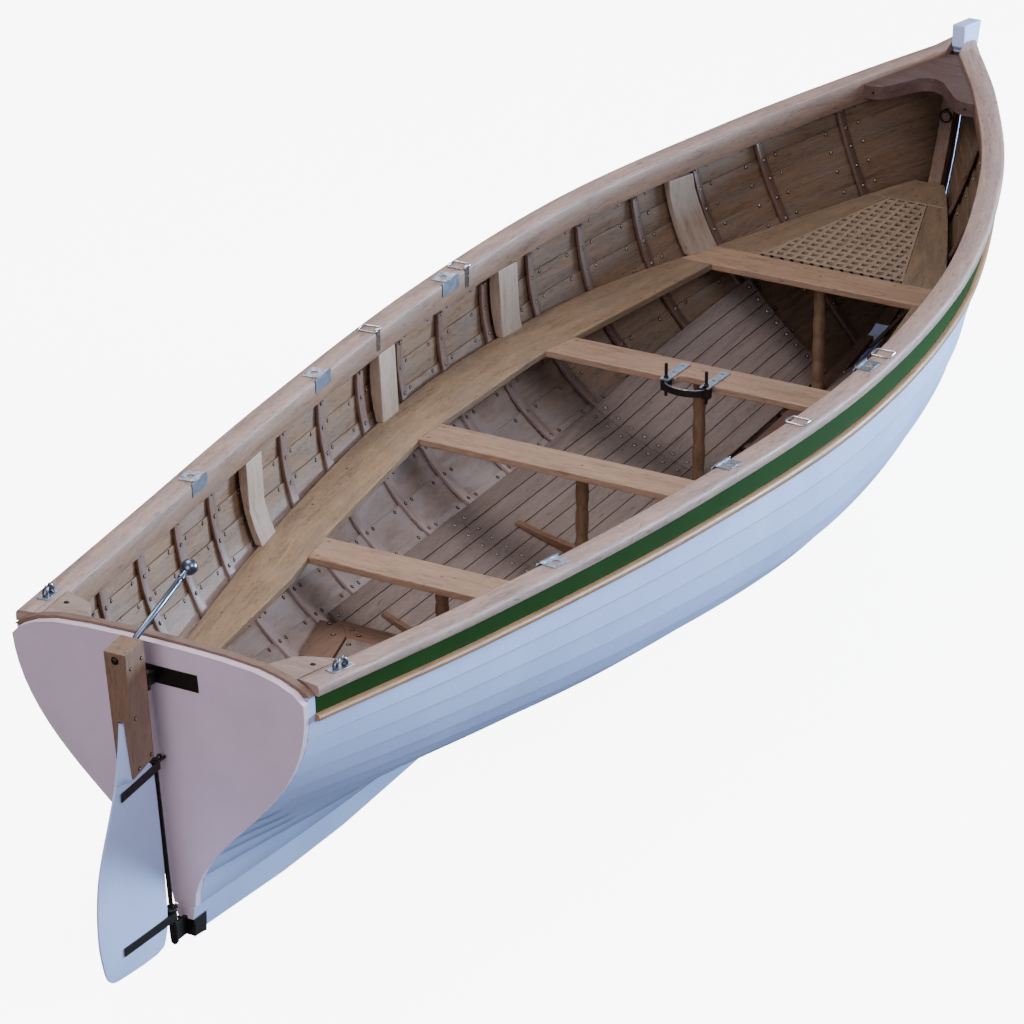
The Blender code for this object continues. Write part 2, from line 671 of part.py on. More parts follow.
def beside_rail(along, side, offset, rise):
    """A place measured outboard of the hull's edge and above it, kept clear of the stem."""
    place, out, high, fore, outboard, _ = rail_frame(along)
    out = max(out + outboard * offset, BACKBONE_HALF + SEAT_GAP)
    return place + fore * offset, side * out, high + rise


def rail_top(along):
    return rail_frame(along)[2] + RAIL_THICK


RAIL_INNER_EDGE = np.array([beside_rail(along, 1, RAIL_INNER, RAIL_THICK) for along in RAIL_STATIONS])


def rail_inner(along):
    """How far out the rail's inner face lies, and how high its top edge."""
    return [float(np.interp(along, RAIL_INNER_EDGE[:, 0], RAIL_INNER_EDGE[:, k])) for k in (1, 2)]


def rail_box(name, along, side, low, high, half_length, finish):
    """A box on the rail, its corners as (offset from the inner edge, rise over the top)."""
    corners = ((low[0], low[1]), (high[0], low[1]), (high[0], high[1]), (low[0], high[1]))
    rings = [[beside_rail(place, side, RAIL_INNER + offset, RAIL_THICK + rise)
              for offset, rise in corners] for place in (along - half_length, along + half_length)]
    return loft(name, rings, finish)


def build_rails():
    """Wide rail over the sheer, with the deep inwale beneath it that the rib heads end at."""
    low = RAIL_THICK - INWALE_DEPTH
    inside = [along for along in RAIL_STATIONS if INWALE_ENDS[0] < along < INWALE_ENDS[1]]
    for word, side in SIDES:
        slab = []
        for along in RAIL_STATIONS:
            corners = ((RAIL_PROUD, RAIL_SEAT), (RAIL_PROUD, RAIL_THICK),
                       (RAIL_INNER, RAIL_THICK), (RAIL_INNER, RAIL_SEAT))
            slab.append([beside_rail(along, side, offset, rise) for offset, rise in corners])
        leg = []
        for along in (INWALE_ENDS[0], *inside, INWALE_ENDS[1]):
            flare = rail_frame(along)[5]
            outer = -(PLANK_INSIDE * math.hypot(1, flare) + INWALE_CLEAR - flare * low)
            inner = RAIL_INNER + INWALE_SET_BACK
            corners = ((inner, low), (inner, RAIL_THICK / 2), (outer, RAIL_THICK / 2), (outer, low))
            leg.append([beside_rail(along, side, offset, rise) for offset, rise in corners])
        combine(loft(f"gunwale_{word}", slab, "rail_wood"), [loft("inwale", leg, "rail_wood")])


def build_quarter_knees():
    """Grown knees that lock each rail to the transom, their inner edge hollow."""
    for word, side in SIDES:
        upper, lower = [], []
        for along, free in QUARTER_KNEE:
            out, top = rail_inner(along)
            reach = (side * (out - SEAT_GAP), side * free)
            upper.append([(along, across, top) for across in reach])
            lower.append([(along, across, top - KNEE_THICK) for across in reach])
        sheet(f"quarter_knee_{word}", upper, lower, "rail_wood")


def build_breasthook():
    """Breasthook between the rails at the bow, its aft edge hollowed between two horns."""
    both = BREASTHOOK_AFT + tuple((-across, start) for across, start in BREASTHOOK_AFT[-2::-1])
    upper, lower = [], []
    for across, start in both:
        top_row, low_row = [], []
        for along in np.linspace(start, BREASTHOOK_FORWARD, 7):
            out, high = rail_inner(along)
            top_row.append((along, across * (out - SEAT_GAP), high))
            low_row.append((along, across * (out - SEAT_GAP), high - BREASTHOOK_THICK))
        upper.append(top_row)
        lower.append(low_row)
    sheet("breasthook", upper, lower, "rib_wood")


# Seats and floor

def seat_height(along):
    return between(SEAT_LINE, along)


def seat_outer(along, top):
    """Where a seat's outer edge meets the ribs."""
    clear = RIB_INSIDE + SEAT_GAP
    return min(half_breadth(along, top, clear), half_breadth(along, top - SEAT_THICK, clear))


def seat_board(name, places, reach, finish, level=None):
    """A board across the boat, its reach each way given by place along."""
    upper, lower = [], []
    for along in places:
        top, out = level or seat_height(along), reach(along)
        upper.append([(along, -out, top), (along, out, top)])
        lower.append([(along, -out, top - SEAT_THICK), (along, out, top - SEAT_THICK)])
    return sheet(name, upper, lower, finish)


def bench_knee(middle, side):
    """An upright board, its back against the ribs and its face in line with the inwale."""
    ends = (middle - KNEE_WIDTH / 2, middle + KNEE_WIDTH / 2)
    foot = seat_height(middle) - SEAT_THICK / 2
    head = min(rail_top(along) for along in ends) - INWALE_DEPTH - 2 * SEAT_GAP
    rings = []
    for step in (0.0, 0.5, 1.0):
        high = foot + (head - foot) * step
        faces, backs = [], []
        for along in ends:
            back = half_breadth(along, high, RIB_INSIDE + SEAT_GAP)
            face = min(rail_inner(along)[0], back - KNEE_LEAST) - (1 - step) * KNEE_LEAST
            faces.append((along, side * face, high))
            backs.append((along, side * back, high))
        rings.append([faces[0], backs[0], backs[1], faces[1]])
    return loft("knee", rings, "bench_wood")


def build_side_benches():
    """Benches along both sides, with upright knees from bench to rail at each thwart."""
    for word, side in SIDES:
        upper, lower = [], []
        for along in BENCH_PLACES:
            top = seat_height(along)
            reach = (between(BENCH_INNER, along), seat_outer(along, top))
            upper.append([(along, side * out, top) for out in reach])
            lower.append([(along, side * out, top - SEAT_THICK) for out in reach])
        bench = sheet(f"side_bench_{word}", upper, lower, "bench_wood")
        combine(bench, [bench_knee(middle, side) for middle in KNEE_PLACES[:3]])


def thwart_level(number):
    return seat_height(sum(THWARTS[number - 1]) / 2)


def build_thwarts():
    """Three thwarts between the benches; the mast steps through the notch in the third."""
    for number, ends in enumerate(THWARTS[:3], start=1):
        top = thwart_level(number)
        thwart = seat_board(f"thwart_{number}", ends,
                            lambda along: between(BENCH_INNER, along) - SEAT_GAP, "thwart_wood", top)
        if number == 3:
            drop = [(ends[0], 0, top - NOTCH_CUT), (ends[0], 0, top + NOTCH_CUT)]
            notch = turned("notch", drop, (MAST_NOTCH, MAST_NOTCH), "thwart_wood", sides=24)
            combine(thwart, [notch], "DIFFERENCE")


def build_pillars():
    """Turned pillars under the middle of each thwart, the first on the aft floor bearer."""
    for number, ends in enumerate(THWARTS, start=1):
        along = sum(ends) / 2
        foot = max(keelson_top(along - PILLAR_RADIUS), keelson_top(along + PILLAR_RADIUS))
        foot = (BEARER_TOP if number == 1 else foot) + SEAT_GAP
        level = thwart_level(number) if number < 4 else seat_height(along - PILLAR_RADIUS)
        head = level - SEAT_THICK - SEAT_GAP
        line = [(along, 0, foot + (head - foot) * share) for share, _ in PILLAR_SHAPE]
        turned(f"thwart_pillar_{number}", line, [PILLAR_RADIUS * wide for _, wide in PILLAR_SHAPE],
               "rib_wood")


def wedge(name, shrink, side_gap, low, high, finish):
    """The tapering grating hatch, or a cutter for it."""
    rings = []
    for (along, half), inward in zip(HATCH, (shrink, -shrink)):
        top, reach = seat_height(along + inward), half - side_gap
        rings.append([(along + inward, -reach, top + low), (along + inward, reach, top + low),
                      (along + inward, reach, top + high), (along + inward, -reach, top + high)])
    return loft(name, rings, finish)


def build_bow_seat():
    """Bow thwart with its knees, the boards forward of it, and the grating they hold."""
    aft, fore = THWARTS[3]
    board = seat_board("bow_thwart", (aft, (aft + fore) / 2, fore),
                       lambda along: seat_outer(along, seat_height(along)), "bench_wood")
    combine(board, [bench_knee(KNEE_PLACES[3], side) for _, side in SIDES])
    seat = seat_board("bow_seat", np.linspace(*BOW_SEAT_ENDS, 8),
                      lambda along: seat_outer(along, seat_height(along)), "bench_wood")
    combine(seat, [wedge("hatch", 0.0, 0.0, -HATCH_CUT, HATCH_CUT, "bench_wood")], "DIFFERENCE")
    wedge("bow_grating", HATCH_GAP, HATCH_SIDE_GAP, -SEAT_THICK, 0.0, "thwart_wood")


def floor_inner_share(along, depth):
    """The share of the girth from which the floor clears the keelson."""
    share = FLOOR_LEAST_SHARE
    while framed(along, share, depth)[1] < between(KEELSON_HALF, along) + FLOOR_INNER_CLEAR:
        share += SHARE_STEP
    return share


def build_floor():
    """Floorboards laid along the boat on the ribs, from the keelson to the turn of the bilge."""
    under = FLOOR_DEPTH
    over = under + FLOOR_THICK
    for word, side in SIDES:
        grids = ([], [])
        for along in np.linspace(*FLOOR_ENDS, FLOOR_ROWS):
            inner, outer = floor_inner_share(along, over), between(FLOOR_OUTER, along)
            shares = (inner, *RIB_SHARES[1:4], outer)
            for grid, depth in zip(grids, (over, under)):
                row = [framed(along, share, depth) for share in shares]
                grid.append([(a, side * y, h) for a, y, h in row])
        sheet(f"floorboards_{word}", *grids, "floor_wood")


def build_stretchers():
    """Tapered foot stretchers across the floor."""
    thin, deep = STRETCHER_THICK
    inner = STRETCHER_INNER
    for number, (along, lift, outer) in enumerate(STRETCHERS, start=1):
        shares = [inner + (outer - inner) * part for part in STRETCHER_PARTS]
        both = [(share, 1) for share in shares] + [(share, -1) for share in reversed(shares)]
        depth = FLOOR_DEPTH + FLOOR_THICK + lift
        rings = []
        for share, side in both:
            thick = thin + (deep - thin) * (outer - share) / (outer - inner)
            ring = []
            for edge, sunk in ((-1, 0), (1, 0), (STRETCHER_TOP, thick), (-STRETCHER_TOP, thick)):
                place, out, high = framed(along + edge * STRETCHER_HALF, share, depth + sunk)
                if share == shares[-1]:
                    high = max(high, keelson_top(along + STRETCHER_HALF) + 2 * SEAT_GAP + sunk)
                ring.append((place, side * out, high))
            rings.append(ring)
        loft(f"foot_stretcher_{number}", rings, "dark_wood")


def build_aft_bearer():
    """A level bearer across the bilge at the aft end of the floorboards."""
    upper, lower = [], []
    for along in (BEARER_PLACE - BEARER_HALF, BEARER_PLACE + BEARER_HALF):
        for row, high in ((upper, BEARER_TOP), (lower, BEARER_TOP - BEARER_DEEP)):
            out = half_breadth(along, high, RIB_INSIDE + 2 * SEAT_GAP)
            row.append([(along, -out, high), (along, out, high)])
    sheet("floor_bearer", upper, lower, "rib_wood")


# Fittings on the rails

def build_rowlock_plates():
    """Bent plates over the inner edge of the rail, where the rowlocks drop in."""
    for word, side in SIDES:
        for number, along in enumerate(ROWLOCK_PLACES, start=1):
            plate = rail_box(f"rowlock_plate_{word}_{number}", along, side,
                             (-PLATE_THICK, SEAT_GAP), (TAB_REACH, PLATE_THICK), TAB_HALF, "steel")
            flange = rail_box("flange", along, side, (-PLATE_THICK, -FLANGE_DOWN),
                              (-SEAT_GAP, PLATE_THICK - BITE), FLANGE_HALF, "steel")
            combine(plate, [flange])


def build_loops():
    """Square wire loops on a strap over the inner edge of the rail, for lashings."""
    for word, side in SIDES:
        for number, along in enumerate(LOOP_PLACES, start=1):
            loop = rail_box(f"lashing_loop_{word}_{number}", along, side,
                            (-LOOP_STRAP_THICK, -LOOP_STRAP_DOWN), (-SEAT_GAP, LOOP_STRAP_UP),
                            LOOP_STRAP_HALF, "steel")
            bars = [rail_box("bar", along + step, side, (-LOOP_BACK, SEAT_GAP),
                             (LOOP_REACH, LOOP_WIRE), LOOP_WIRE / 2, "steel")
                    for step in (-LOOP_HALF, LOOP_HALF)]
            bars += [rail_box("bar", along, side, (start, LOOP_BAR_SEAT),
                              (start + LOOP_WIRE, LOOP_WIRE - LOOP_BAR_SHY), LOOP_HALF, "steel")
                     for start in (SEAT_GAP - LOOP_BACK, LOOP_REACH - LOOP_WIRE - LOOP_BAR_SEAT)]
            combine(loop, bars)


def build_fairleads():
    """Two-horned chocks on the quarters."""
    for word, side in SIDES:
        near, far, thick = FAIRLEAD_PLATE
        plate = rail_box(f"quarter_fairlead_{word}", FAIRLEAD_PLACE, side, (near, SEAT_GAP),
                         (far, thick), FAIRLEAD_HALF, "steel")
        horns = [rail_box("horn", FAIRLEAD_PLACE + step, side, *HORN_BOX, HORN_HALF, "steel")
                 for step in (-HORN_APART, HORN_APART)]
        combine(plate, horns)


# The mast gate on the third thwart

def build_mast_straps():
    """Straps on the thwart, bored aft of it for the gate's pins; the starboard one is open aft."""
    aft, top = THWARTS[2][0], thwart_level(3)
    pin_line = aft - GATE_AFT
    for word, side in SIDES:
        out = side * GATE_HALF
        strap = block(f"mast_strap_{word}", (aft - STRAP_AFT, out - STRAP_HALF, top + SEAT_GAP),
                      (aft + STRAP_FORE, out + STRAP_HALF, top + SEAT_GAP + STRAP_UP), "steel")
        drop = [(pin_line, out, top - GATE_CUT), (pin_line, out, top + GATE_CUT)]
        cuts = [turned("hole", drop, (PIN_RADIUS + PIN_CLEAR,) * 2, "steel", sides=16)]
        if side < 0:
            half_slot = PIN_RADIUS + PIN_SLOT_SLACK
            cuts.append(block("slot", (aft - GATE_CUT, out - half_slot, top - GATE_CUT),
                              (pin_line + PIN_CLEAR, out + half_slot, top + GATE_CUT), "steel"))
        combine(strap, cuts, "DIFFERENCE")


def build_mast_gate():
    """The half ring that closes the mast notch, with an eye and a collared pin at each end."""
    top = thwart_level(3)
    pin_line = THWARTS[2][0] - GATE_AFT
    half_bar, low, high = GATE_BAR
    rings = []
    for turn in np.linspace(0, math.pi, 13):
        ring = []
        for radius, level in ((GATE_HALF - half_bar, low), (GATE_HALF + half_bar, low),
                              (GATE_HALF + half_bar, high), (GATE_HALF - half_bar, high)):
            ring.append((pin_line - radius * GATE_BULGE * math.sin(turn), radius * math.cos(turn),
                         top + level))
        rings.append(ring)
    gate = loft("mast_gate", rings, "black_iron", origin=(pin_line, GATE_HALF, top))
    parts = []
    for side in (1, -1):
        for name, ends, radius in (("eye", GATE_EYE_ENDS, GATE_EYE_RADIUS),
                                   ("pin", PIN_ENDS, PIN_RADIUS),
                                   ("collar", COLLAR_ENDS, COLLAR_RADIUS)):
            line = [(pin_line, side * GATE_HALF, top + level) for level in ends]
            parts.append(turned(name, line, (radius, radius), "black_iron", sides=16))
    combine(gate, parts)


# The rudder and what it hangs on

def axis_at(high):
    """Where the raked rudder axis lies at a height."""
    return AXIS_FOOT[0] + (high - AXIS_FOOT[1]) * AXIS_RAKE


def on_axis(name, low, high, radius, finish, **more):
    """A round piece whose centre line is the rudder axis."""
    line = [(axis_at(level), 0, level) for level in (low, high)]
    return turned(name, line, (radius, radius), finish, sides=16, **more)


def arm_to(name, level_ends, start, reach, half, finish):
    """An arm forward from a distance off the rudder axis, its end at a place given by height."""
    rings = []
    for out in (-half, half):
        aft = [(axis_at(level) + start, out, level) for level in level_ends]
        rings.append(aft + [(reach(level), out, level) for level in reversed(level_ends)])
    return loft(name, rings, finish)


def heel_face(high):
    """Just aft of the keel's aft end at a height."""
    return between(tuple((h, a) for a, h in KEEL_BOTTOM[1::-1]), high) - SEAT_GAP


def build_hangings():
    """Black bracket on the transom, and the long rod held by the keel heel and the transom."""
    rings = [[(transom_face(level) + step, out, level)
              for out, level in ((-BRACKET_HALF, BRACKET_HIGH[0]), (BRACKET_HALF, BRACKET_HIGH[0]),
                                 (BRACKET_HALF, BRACKET_HIGH[1]), (-BRACKET_HALF, BRACKET_HIGH[1]))]
             for step in (-SEAT_GAP, -BRACKET_THICK)]
    bracket = loft("transom_bracket", rings, "black_iron")
    arm = arm_to("arm", (BRACKET_HIGH[0] + ARM_INSET, BRACKET_HIGH[1] - ARM_INSET), ARM_START,
                 lambda level: transom_face(level) - ARM_START, ARM_HALF, "black_iron")
    boss = on_axis("boss", *BRACKET_HIGH, BOSS_RADIUS, "black_iron")
    combine(bracket, [arm, boss])
    rod = on_axis("pintle_rod", *ROD_ENDS, ROD_RADIUS, "black_iron")
    heel = arm_to("heel", HEEL_HIGH, -LUG_BEHIND, heel_face, HEEL_HALF, "black_iron")
    clip = arm_to("clip", CLIP_HIGH, -LUG_BEHIND,
                  lambda level: transom_face(level) - SEAT_GAP, CLIP_HALF, "black_iron")
    combine(rod, [heel, clip])


def rounded(points):
    """The points of an edge with one more between each two, on a smooth curve through them all."""
    found = []
    for k, here in enumerate(points[:-1]):
        before, ahead, beyond = points[max(0, k - 1)], points[k + 1], points[min(k + 2, len(points) - 1)]
        found += [here, tuple((9 * (a + b) - c - d) / 16
                              for a, b, c, d in zip(here, ahead, before, beyond))]
    return found + [points[-1]]


def rudder_strap(name, place, origin):
    """A strap that holds the blade between two cheeks and turns on the rod by its eye."""
    eye_high, tail = place
    start = axis_at(eye_high) - STRAP_BITE
    inner, deep = BLADE_HALF + SEAT_GAP, STRAP_DEEP / 2
    outline = [(start, eye_high - deep), (start, eye_high + deep), (tail[0], tail[1] + deep),
               (tail[0], tail[1] - deep)]
    cheeks = []
    for low, high in ((inner, inner + STRAP_THICK), (-inner - STRAP_THICK, -inner)):
        rings = [[(along, out, level) for along, level in outline] for out in (low, high)]
        cheeks.append(loft(f"{name}_cheek", rings, "black_iron"))
    strap = on_axis(name, eye_high - deep - EYE_PROUD, eye_high + deep + EYE_PROUD, EYE_RADIUS,
                    "black_iron", origin=origin)
    combine(strap, cheeks)
    bore = on_axis("bore", eye_high - BORE_CUT, eye_high + BORE_CUT, ROD_RADIUS + ROD_CLEAR,
                   "black_iron")
    combine(strap, [bore], "DIFFERENCE")


def build_rudder():
    """Wooden stock slotted for the white blade, and the two straps that turn on the rod."""
    origin = (axis_at(RUDDER_ORIGIN_HIGH), 0, RUDDER_ORIGIN_HIGH)
    rings = [[(aft[0], -half, aft[1]), (fore[0], -half, fore[1]), (fore[0], half, fore[1]),
              (aft[0], half, aft[1])] for aft, fore, half in (STOCK_FOOT, STOCK_HEAD)]
    stock = loft("rudder_stock", rings, "rudder_wood", origin=origin)
    half_slot = BLADE_HALF + SEAT_GAP
    slot = block("slot", (SLOT_ENDS[0], -half_slot, SLOT_FOOT), (SLOT_ENDS[1], half_slot, SLOT_TOP),
                 "rudder_wood")
    line = tiller_line()
    run = (line[1] - line[0]).normalized()
    tunnel = turned("tunnel", [tuple(line[0] - run * SEAT_GAP), tuple(line[0] + run * TUNNEL)],
                    (TILLER_RADIUS + SEAT_GAP,) * 2, "rudder_wood", sides=16)
    combine(stock, [slot, tunnel], "DIFFERENCE")
    upright_plate("rudder_blade", rounded(BLADE_FORE) + list(BLADE_HEAD) + rounded(BLADE_AFT),
                  BLADE_HALF, "white_paint", origin=origin)
    rudder_strap("rudder_strap_upper", UPPER_STRAP, origin)
    rudder_strap("rudder_strap_lower", LOWER_STRAP, origin)


def tiller_line():
    return (Vector((TILLER_FOOT[0], 0, TILLER_FOOT[1])), Vector((TILLER_BALL[0], 0, TILLER_BALL[1])))


def build_tiller():
    """Steel rod from the stock over the transom, with a ball knob."""
    start, end = tiller_line()
    run = (end - start).normalized()
    line = [start] + [end - run * step for step in NECK_STEPS]
    radii = [TILLER_RADIUS, TILLER_RADIUS, NECK_RADIUS, NECK_RADIUS]
    for turn in np.linspace(0.12, 0.97, 9):
        angle = math.pi * turn
        line.append(end - run * BALL_RADIUS * math.cos(angle))
        radii.append(BALL_RADIUS * math.sin(angle))
    turned("tiller", [tuple(point) for point in line], radii, "steel", sides=16,
           origin=(axis_at(RUDDER_ORIGIN_HIGH), 0, RUDDER_ORIGIN_HIGH))


clear_scene()
build_planking()
build_sheer_strakes()
build_rubbing_strakes()
build_keel()
build_stem()
build_apron()
build_frames()
build_transom()
build_rails()
build_quarter_knees()
build_breasthook()
build_side_benches()
build_thwarts()
build_pillars()
build_bow_seat()
build_floor()
build_stretchers()
build_aft_bearer()
build_rowlock_plates()
build_loops()
build_fairleads()
build_mast_straps()
build_mast_gate()
build_hangings()
build_rudder()
build_tiller()
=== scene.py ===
"""Clinker-built tender, its looks: planking, rails, seats, grating, fastenings and rudder round
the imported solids. Metres, +X to the bow, +Y to port, the waterline at height zero."""

import math

import bmesh
import bpy
import numpy as np
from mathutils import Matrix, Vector


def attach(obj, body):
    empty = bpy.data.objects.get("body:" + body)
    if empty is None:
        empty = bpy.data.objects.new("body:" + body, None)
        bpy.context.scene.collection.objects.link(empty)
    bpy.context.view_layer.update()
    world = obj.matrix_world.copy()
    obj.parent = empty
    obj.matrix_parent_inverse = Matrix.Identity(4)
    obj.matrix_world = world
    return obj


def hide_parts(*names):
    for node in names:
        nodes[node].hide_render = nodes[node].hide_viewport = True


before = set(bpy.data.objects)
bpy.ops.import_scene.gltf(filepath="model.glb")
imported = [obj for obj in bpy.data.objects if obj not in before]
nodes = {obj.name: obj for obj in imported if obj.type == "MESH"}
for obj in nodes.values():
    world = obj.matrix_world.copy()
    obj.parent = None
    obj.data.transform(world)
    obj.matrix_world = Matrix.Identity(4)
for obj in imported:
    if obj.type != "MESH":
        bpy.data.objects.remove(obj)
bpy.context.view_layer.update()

# Studio. The boat is seen from above its starboard quarter through a long lens. Floor and sky are
# one pale tone, with soft lamps: one low to starboard of the bow and the rest high round the boat.
lens = bpy.data.cameras.new("long_lens")
lens.lens, lens.sensor_width = 180.7, 36.0
viewpoint = bpy.data.objects.new("long_lens", lens)
viewpoint.location = (-12.013, -6.463, 6.202)
viewpoint.rotation_euler = [math.radians(turn) for turn in (65.95, 0.0, -60.45)]
bpy.context.scene.collection.objects.link(viewpoint)
bpy.context.scene.camera = viewpoint


def add_node(tree, kind, links=None, **settings):
    """A node with its settings; each link gives an input a value or another node's output."""
    made = tree.nodes.new(kind)
    for name, value in settings.items():
        setattr(made, name, value)
    for name, value in (links or {}).items():
        if isinstance(value, bpy.types.NodeSocket):
            tree.links.new(value, made.inputs[name])
        else:
            made.inputs[name].default_value = value
    return made


def new_finish(name):
    material = bpy.data.materials.new(name)
    material.use_nodes = True
    return material, material.node_tree, material.node_tree.nodes["Principled BSDF"]


def two_tone(tree, value, low, high, ends=(0.35, 0.65)):
    """A ramp from one colour to another as a value rises between two ends."""
    ramp = add_node(tree, "ShaderNodeValToRGB", {"Fac": value})
    for element, place, colour in zip(ramp.color_ramp.elements, ends, (low, high)):
        element.position, element.color = place, (*colour, 1)
    return ramp


FLOOR_HEIGHT = -0.20
FLOOR_HALF = 90.0
FLOOR_LIGHT = 7.6
floor_mesh = bpy.data.meshes.new("studio_floor")
floor_mesh.from_pydata([(x * FLOOR_HALF, y * FLOOR_HALF, FLOOR_HEIGHT)
                        for x, y in ((-1, -1), (1, -1), (1, 1), (-1, 1))], [], [(0, 1, 2, 3)])
floor = bpy.data.objects.new("studio_floor", floor_mesh)
floor_paint, floor_tree, floor_shader = new_finish("studio_floor")
floor_shader.inputs["Base Color"].default_value = (0.9, 0.9, 0.9, 1)
floor_shader.inputs["Emission Color"].default_value = (1, 1, 1, 1)
floor_shader.inputs["Emission Strength"].default_value = FLOOR_LIGHT
floor_mesh.materials.append(floor_paint)
bpy.context.scene.collection.objects.link(floor)
floor.visible_diffuse = floor.visible_glossy = False

sky = bpy.data.worlds.new("studio_sky")
bpy.context.scene.world = sky
sky.use_nodes = True
sky_tree = sky.node_tree
direction = add_node(sky_tree, "ShaderNodeTexCoord").outputs["Generated"]
height = add_node(sky_tree, "ShaderNodeSeparateXYZ", {0: direction}).outputs["Z"]
rise = two_tone(sky_tree, height, (0.12, 0.12, 0.14), (0.40, 0.385, 0.39), (0.0, 0.85))
seen = add_node(sky_tree, "ShaderNodeLightPath").outputs["Is Camera Ray"]
tone = add_node(sky_tree, "ShaderNodeMix", {"Factor": seen, 6: rise.outputs["Color"],
                                            7: (FLOOR_LIGHT,) * 3 + (1,)}, data_type="RGBA")
sky_light = sky_tree.nodes["Background"]
sky_tree.links.new(tone.outputs[2], sky_light.inputs["Color"])
sky_light.inputs["Strength"].default_value = 1.0

# Each lamp: name, place, width, height, power, colour
LAMPS = (
    ("starboard_lamp", (6.3, -6.5, 2.0), 4.0, 2.2, 2350, (0.58, 0.78, 1.0)),
    ("starboard_high_lamp", (-2.5, -5.5, 5.0), 3.5, 3.5, 230, (0.86, 0.91, 1.0)),
    ("overhead_lamp", (-1.2, 1.6, 6.5), 3.5, 3.5, 330, (1.0, 0.95, 0.93)),
    ("ahead_lamp", (6.5, 5.0, 3.6), 2.5, 2.5, 60, (1.0, 0.97, 0.95)),
    ("astern_lamp", (-8.0, -1.0, 2.4), 3.5, 3.5, 195, (1.0, 0.90, 0.98)),
)
for name, place, width, tall, power, colour in LAMPS:
    lamp = bpy.data.lights.new(name, "AREA")
    lamp.shape, lamp.size, lamp.size_y = "RECTANGLE", width, tall
    lamp.energy, lamp.color = power, colour
    stand = bpy.data.objects.new(name, lamp)
    stand.location = place
    stand.rotation_euler = (-Vector(place)).to_track_quat("-Z", "Y").to_euler()
    bpy.context.scene.collection.objects.link(stand)

# The shape of the hull, as it was lofted: the keel, garboard, bilge and sheer points of each
# station as (along, out, high), from the top of the transom and the underside of the keel.
MIDSHIPS, WATERLINE = 2.42, 0.19
SEAT_GAP = 0.0003
SIDES = (("port", 1), ("starboard", -1))
OFFSETS = np.array([
    [(0.131, 0.032, 0.100), (0.099, 0.040, 0.330), (0.079, 0.442, 0.470), (0.028, 0.433, 0.827)],
    [(0.750, 0.032, 0.075), (0.750, 0.130, 0.260), (0.750, 0.560, 0.340), (0.750, 0.553, 0.797)],
    [(1.600, 0.032, 0.070), (1.600, 0.280, 0.170), (1.600, 0.700, 0.270), (1.600, 0.670, 0.786)],
    [(2.500, 0.032, 0.080), (2.500, 0.340, 0.150), (2.500, 0.800, 0.240), (2.500, 0.732, 0.797)],
    [(3.300, 0.032, 0.120), (3.300, 0.250, 0.200), (3.300, 0.700, 0.320), (3.300, 0.671, 0.841)],
    [(3.870, 0.032, 0.185), (3.910, 0.120, 0.280), (3.950, 0.380, 0.450), (4.000, 0.468, 0.897)],
    [(4.150, 0.032, 0.235), (4.280, 0.060, 0.290), (4.400, 0.170, 0.550), (4.450, 0.240, 0.965)],
    [(4.280, 0.032, 0.270), (4.500, 0.032, 0.350), (4.660, 0.032, 0.600), (4.740, 0.032, 1.030)],
])
LAST_STATION = len(OFFSETS) - 1
ROWS_BETWEEN_STATIONS = 12
PLACES = [k / ROWS_BETWEEN_STATIONS for k in range(LAST_STATION * ROWS_BETWEEN_STATIONS + 1)]
BACKBONE_HALF = 0.022
PLANK, LAP_STEP = 0.009, 0.008
PLANK_INSIDE = PLANK + LAP_STEP
NOMINAL_GIRTH = 1.1


def faired(behind, here, ahead, beyond, step):
    """A place between two neighbours, on the easy curve through all four."""
    return 0.5 * (2 * here + (ahead - behind) * step
                  + (2 * behind - 5 * here + 4 * ahead - beyond) * step ** 2
                  + (3 * here - behind - 3 * ahead + beyond) * step ** 3)


def station(place):
    low = min(int(place), LAST_STATION - 1)
    here, ahead = OFFSETS[low], OFFSETS[low + 1]
    behind = OFFSETS[low - 1] if low > 0 else 2 * here - ahead
    beyond = OFFSETS[low + 2] if low + 2 <= LAST_STATION else 2 * ahead - here
    return faired(behind, here, ahead, beyond, place - low)


SHARE_STEPS = np.linspace(0, 1, 81)


def even_section(place):
    """A section's points at even shares of its girth from keel to sheer."""
    turn = SHARE_STEPS[:, None]
    rest = 1 - turn
    keel, garboard, bilge, sheer = station(place)
    points = (keel * rest ** 3 + 3 * garboard * rest ** 2 * turn + 3 * bilge * rest * turn ** 2
              + sheer * turn ** 3)
    lengths = np.concatenate([[0], np.cumsum(np.linalg.norm(np.diff(points, axis=0), axis=1))])
    return np.stack([np.interp(SHARE_STEPS * lengths[-1], lengths, column)
                     for column in points.T], axis=-1)


SURFACE = np.array([even_section(place) for place in PLACES])
INWARD = np.cross(np.gradient(SURFACE, axis=0), np.gradient(SURFACE, axis=1))
INWARD /= np.linalg.norm(INWARD, axis=-1, keepdims=True)
INWARD *= -np.sign(INWARD[..., 1:2])


def blend_grid(grid, place, share):
    row = min(max(place, 0), LAST_STATION) * ROWS_BETWEEN_STATIONS
    column = min(max(share, 0), 1) * (len(SHARE_STEPS) - 1)
    i, j = min(int(row), len(PLACES) - 2), min(int(column), len(SHARE_STEPS) - 2)
    u, v = row - i, column - j
    return ((grid[i, j] * (1 - v) + grid[i, j + 1] * v) * (1 - u)
            + (grid[i + 1, j] * (1 - v) + grid[i + 1, j + 1] * v) * u)


def skin(place, share, depth=0.0, side=1):
    """A point of the hull's outer surface, sunk inboard by a depth."""
    along, out, high = blend_grid(SURFACE, place, share) + blend_grid(INWARD, place, share) * depth
    slot = BACKBONE_HALF + SEAT_GAP - max(0.0, depth - PLANK_INSIDE)
    return along, side * max(out, slot, 0.001), high


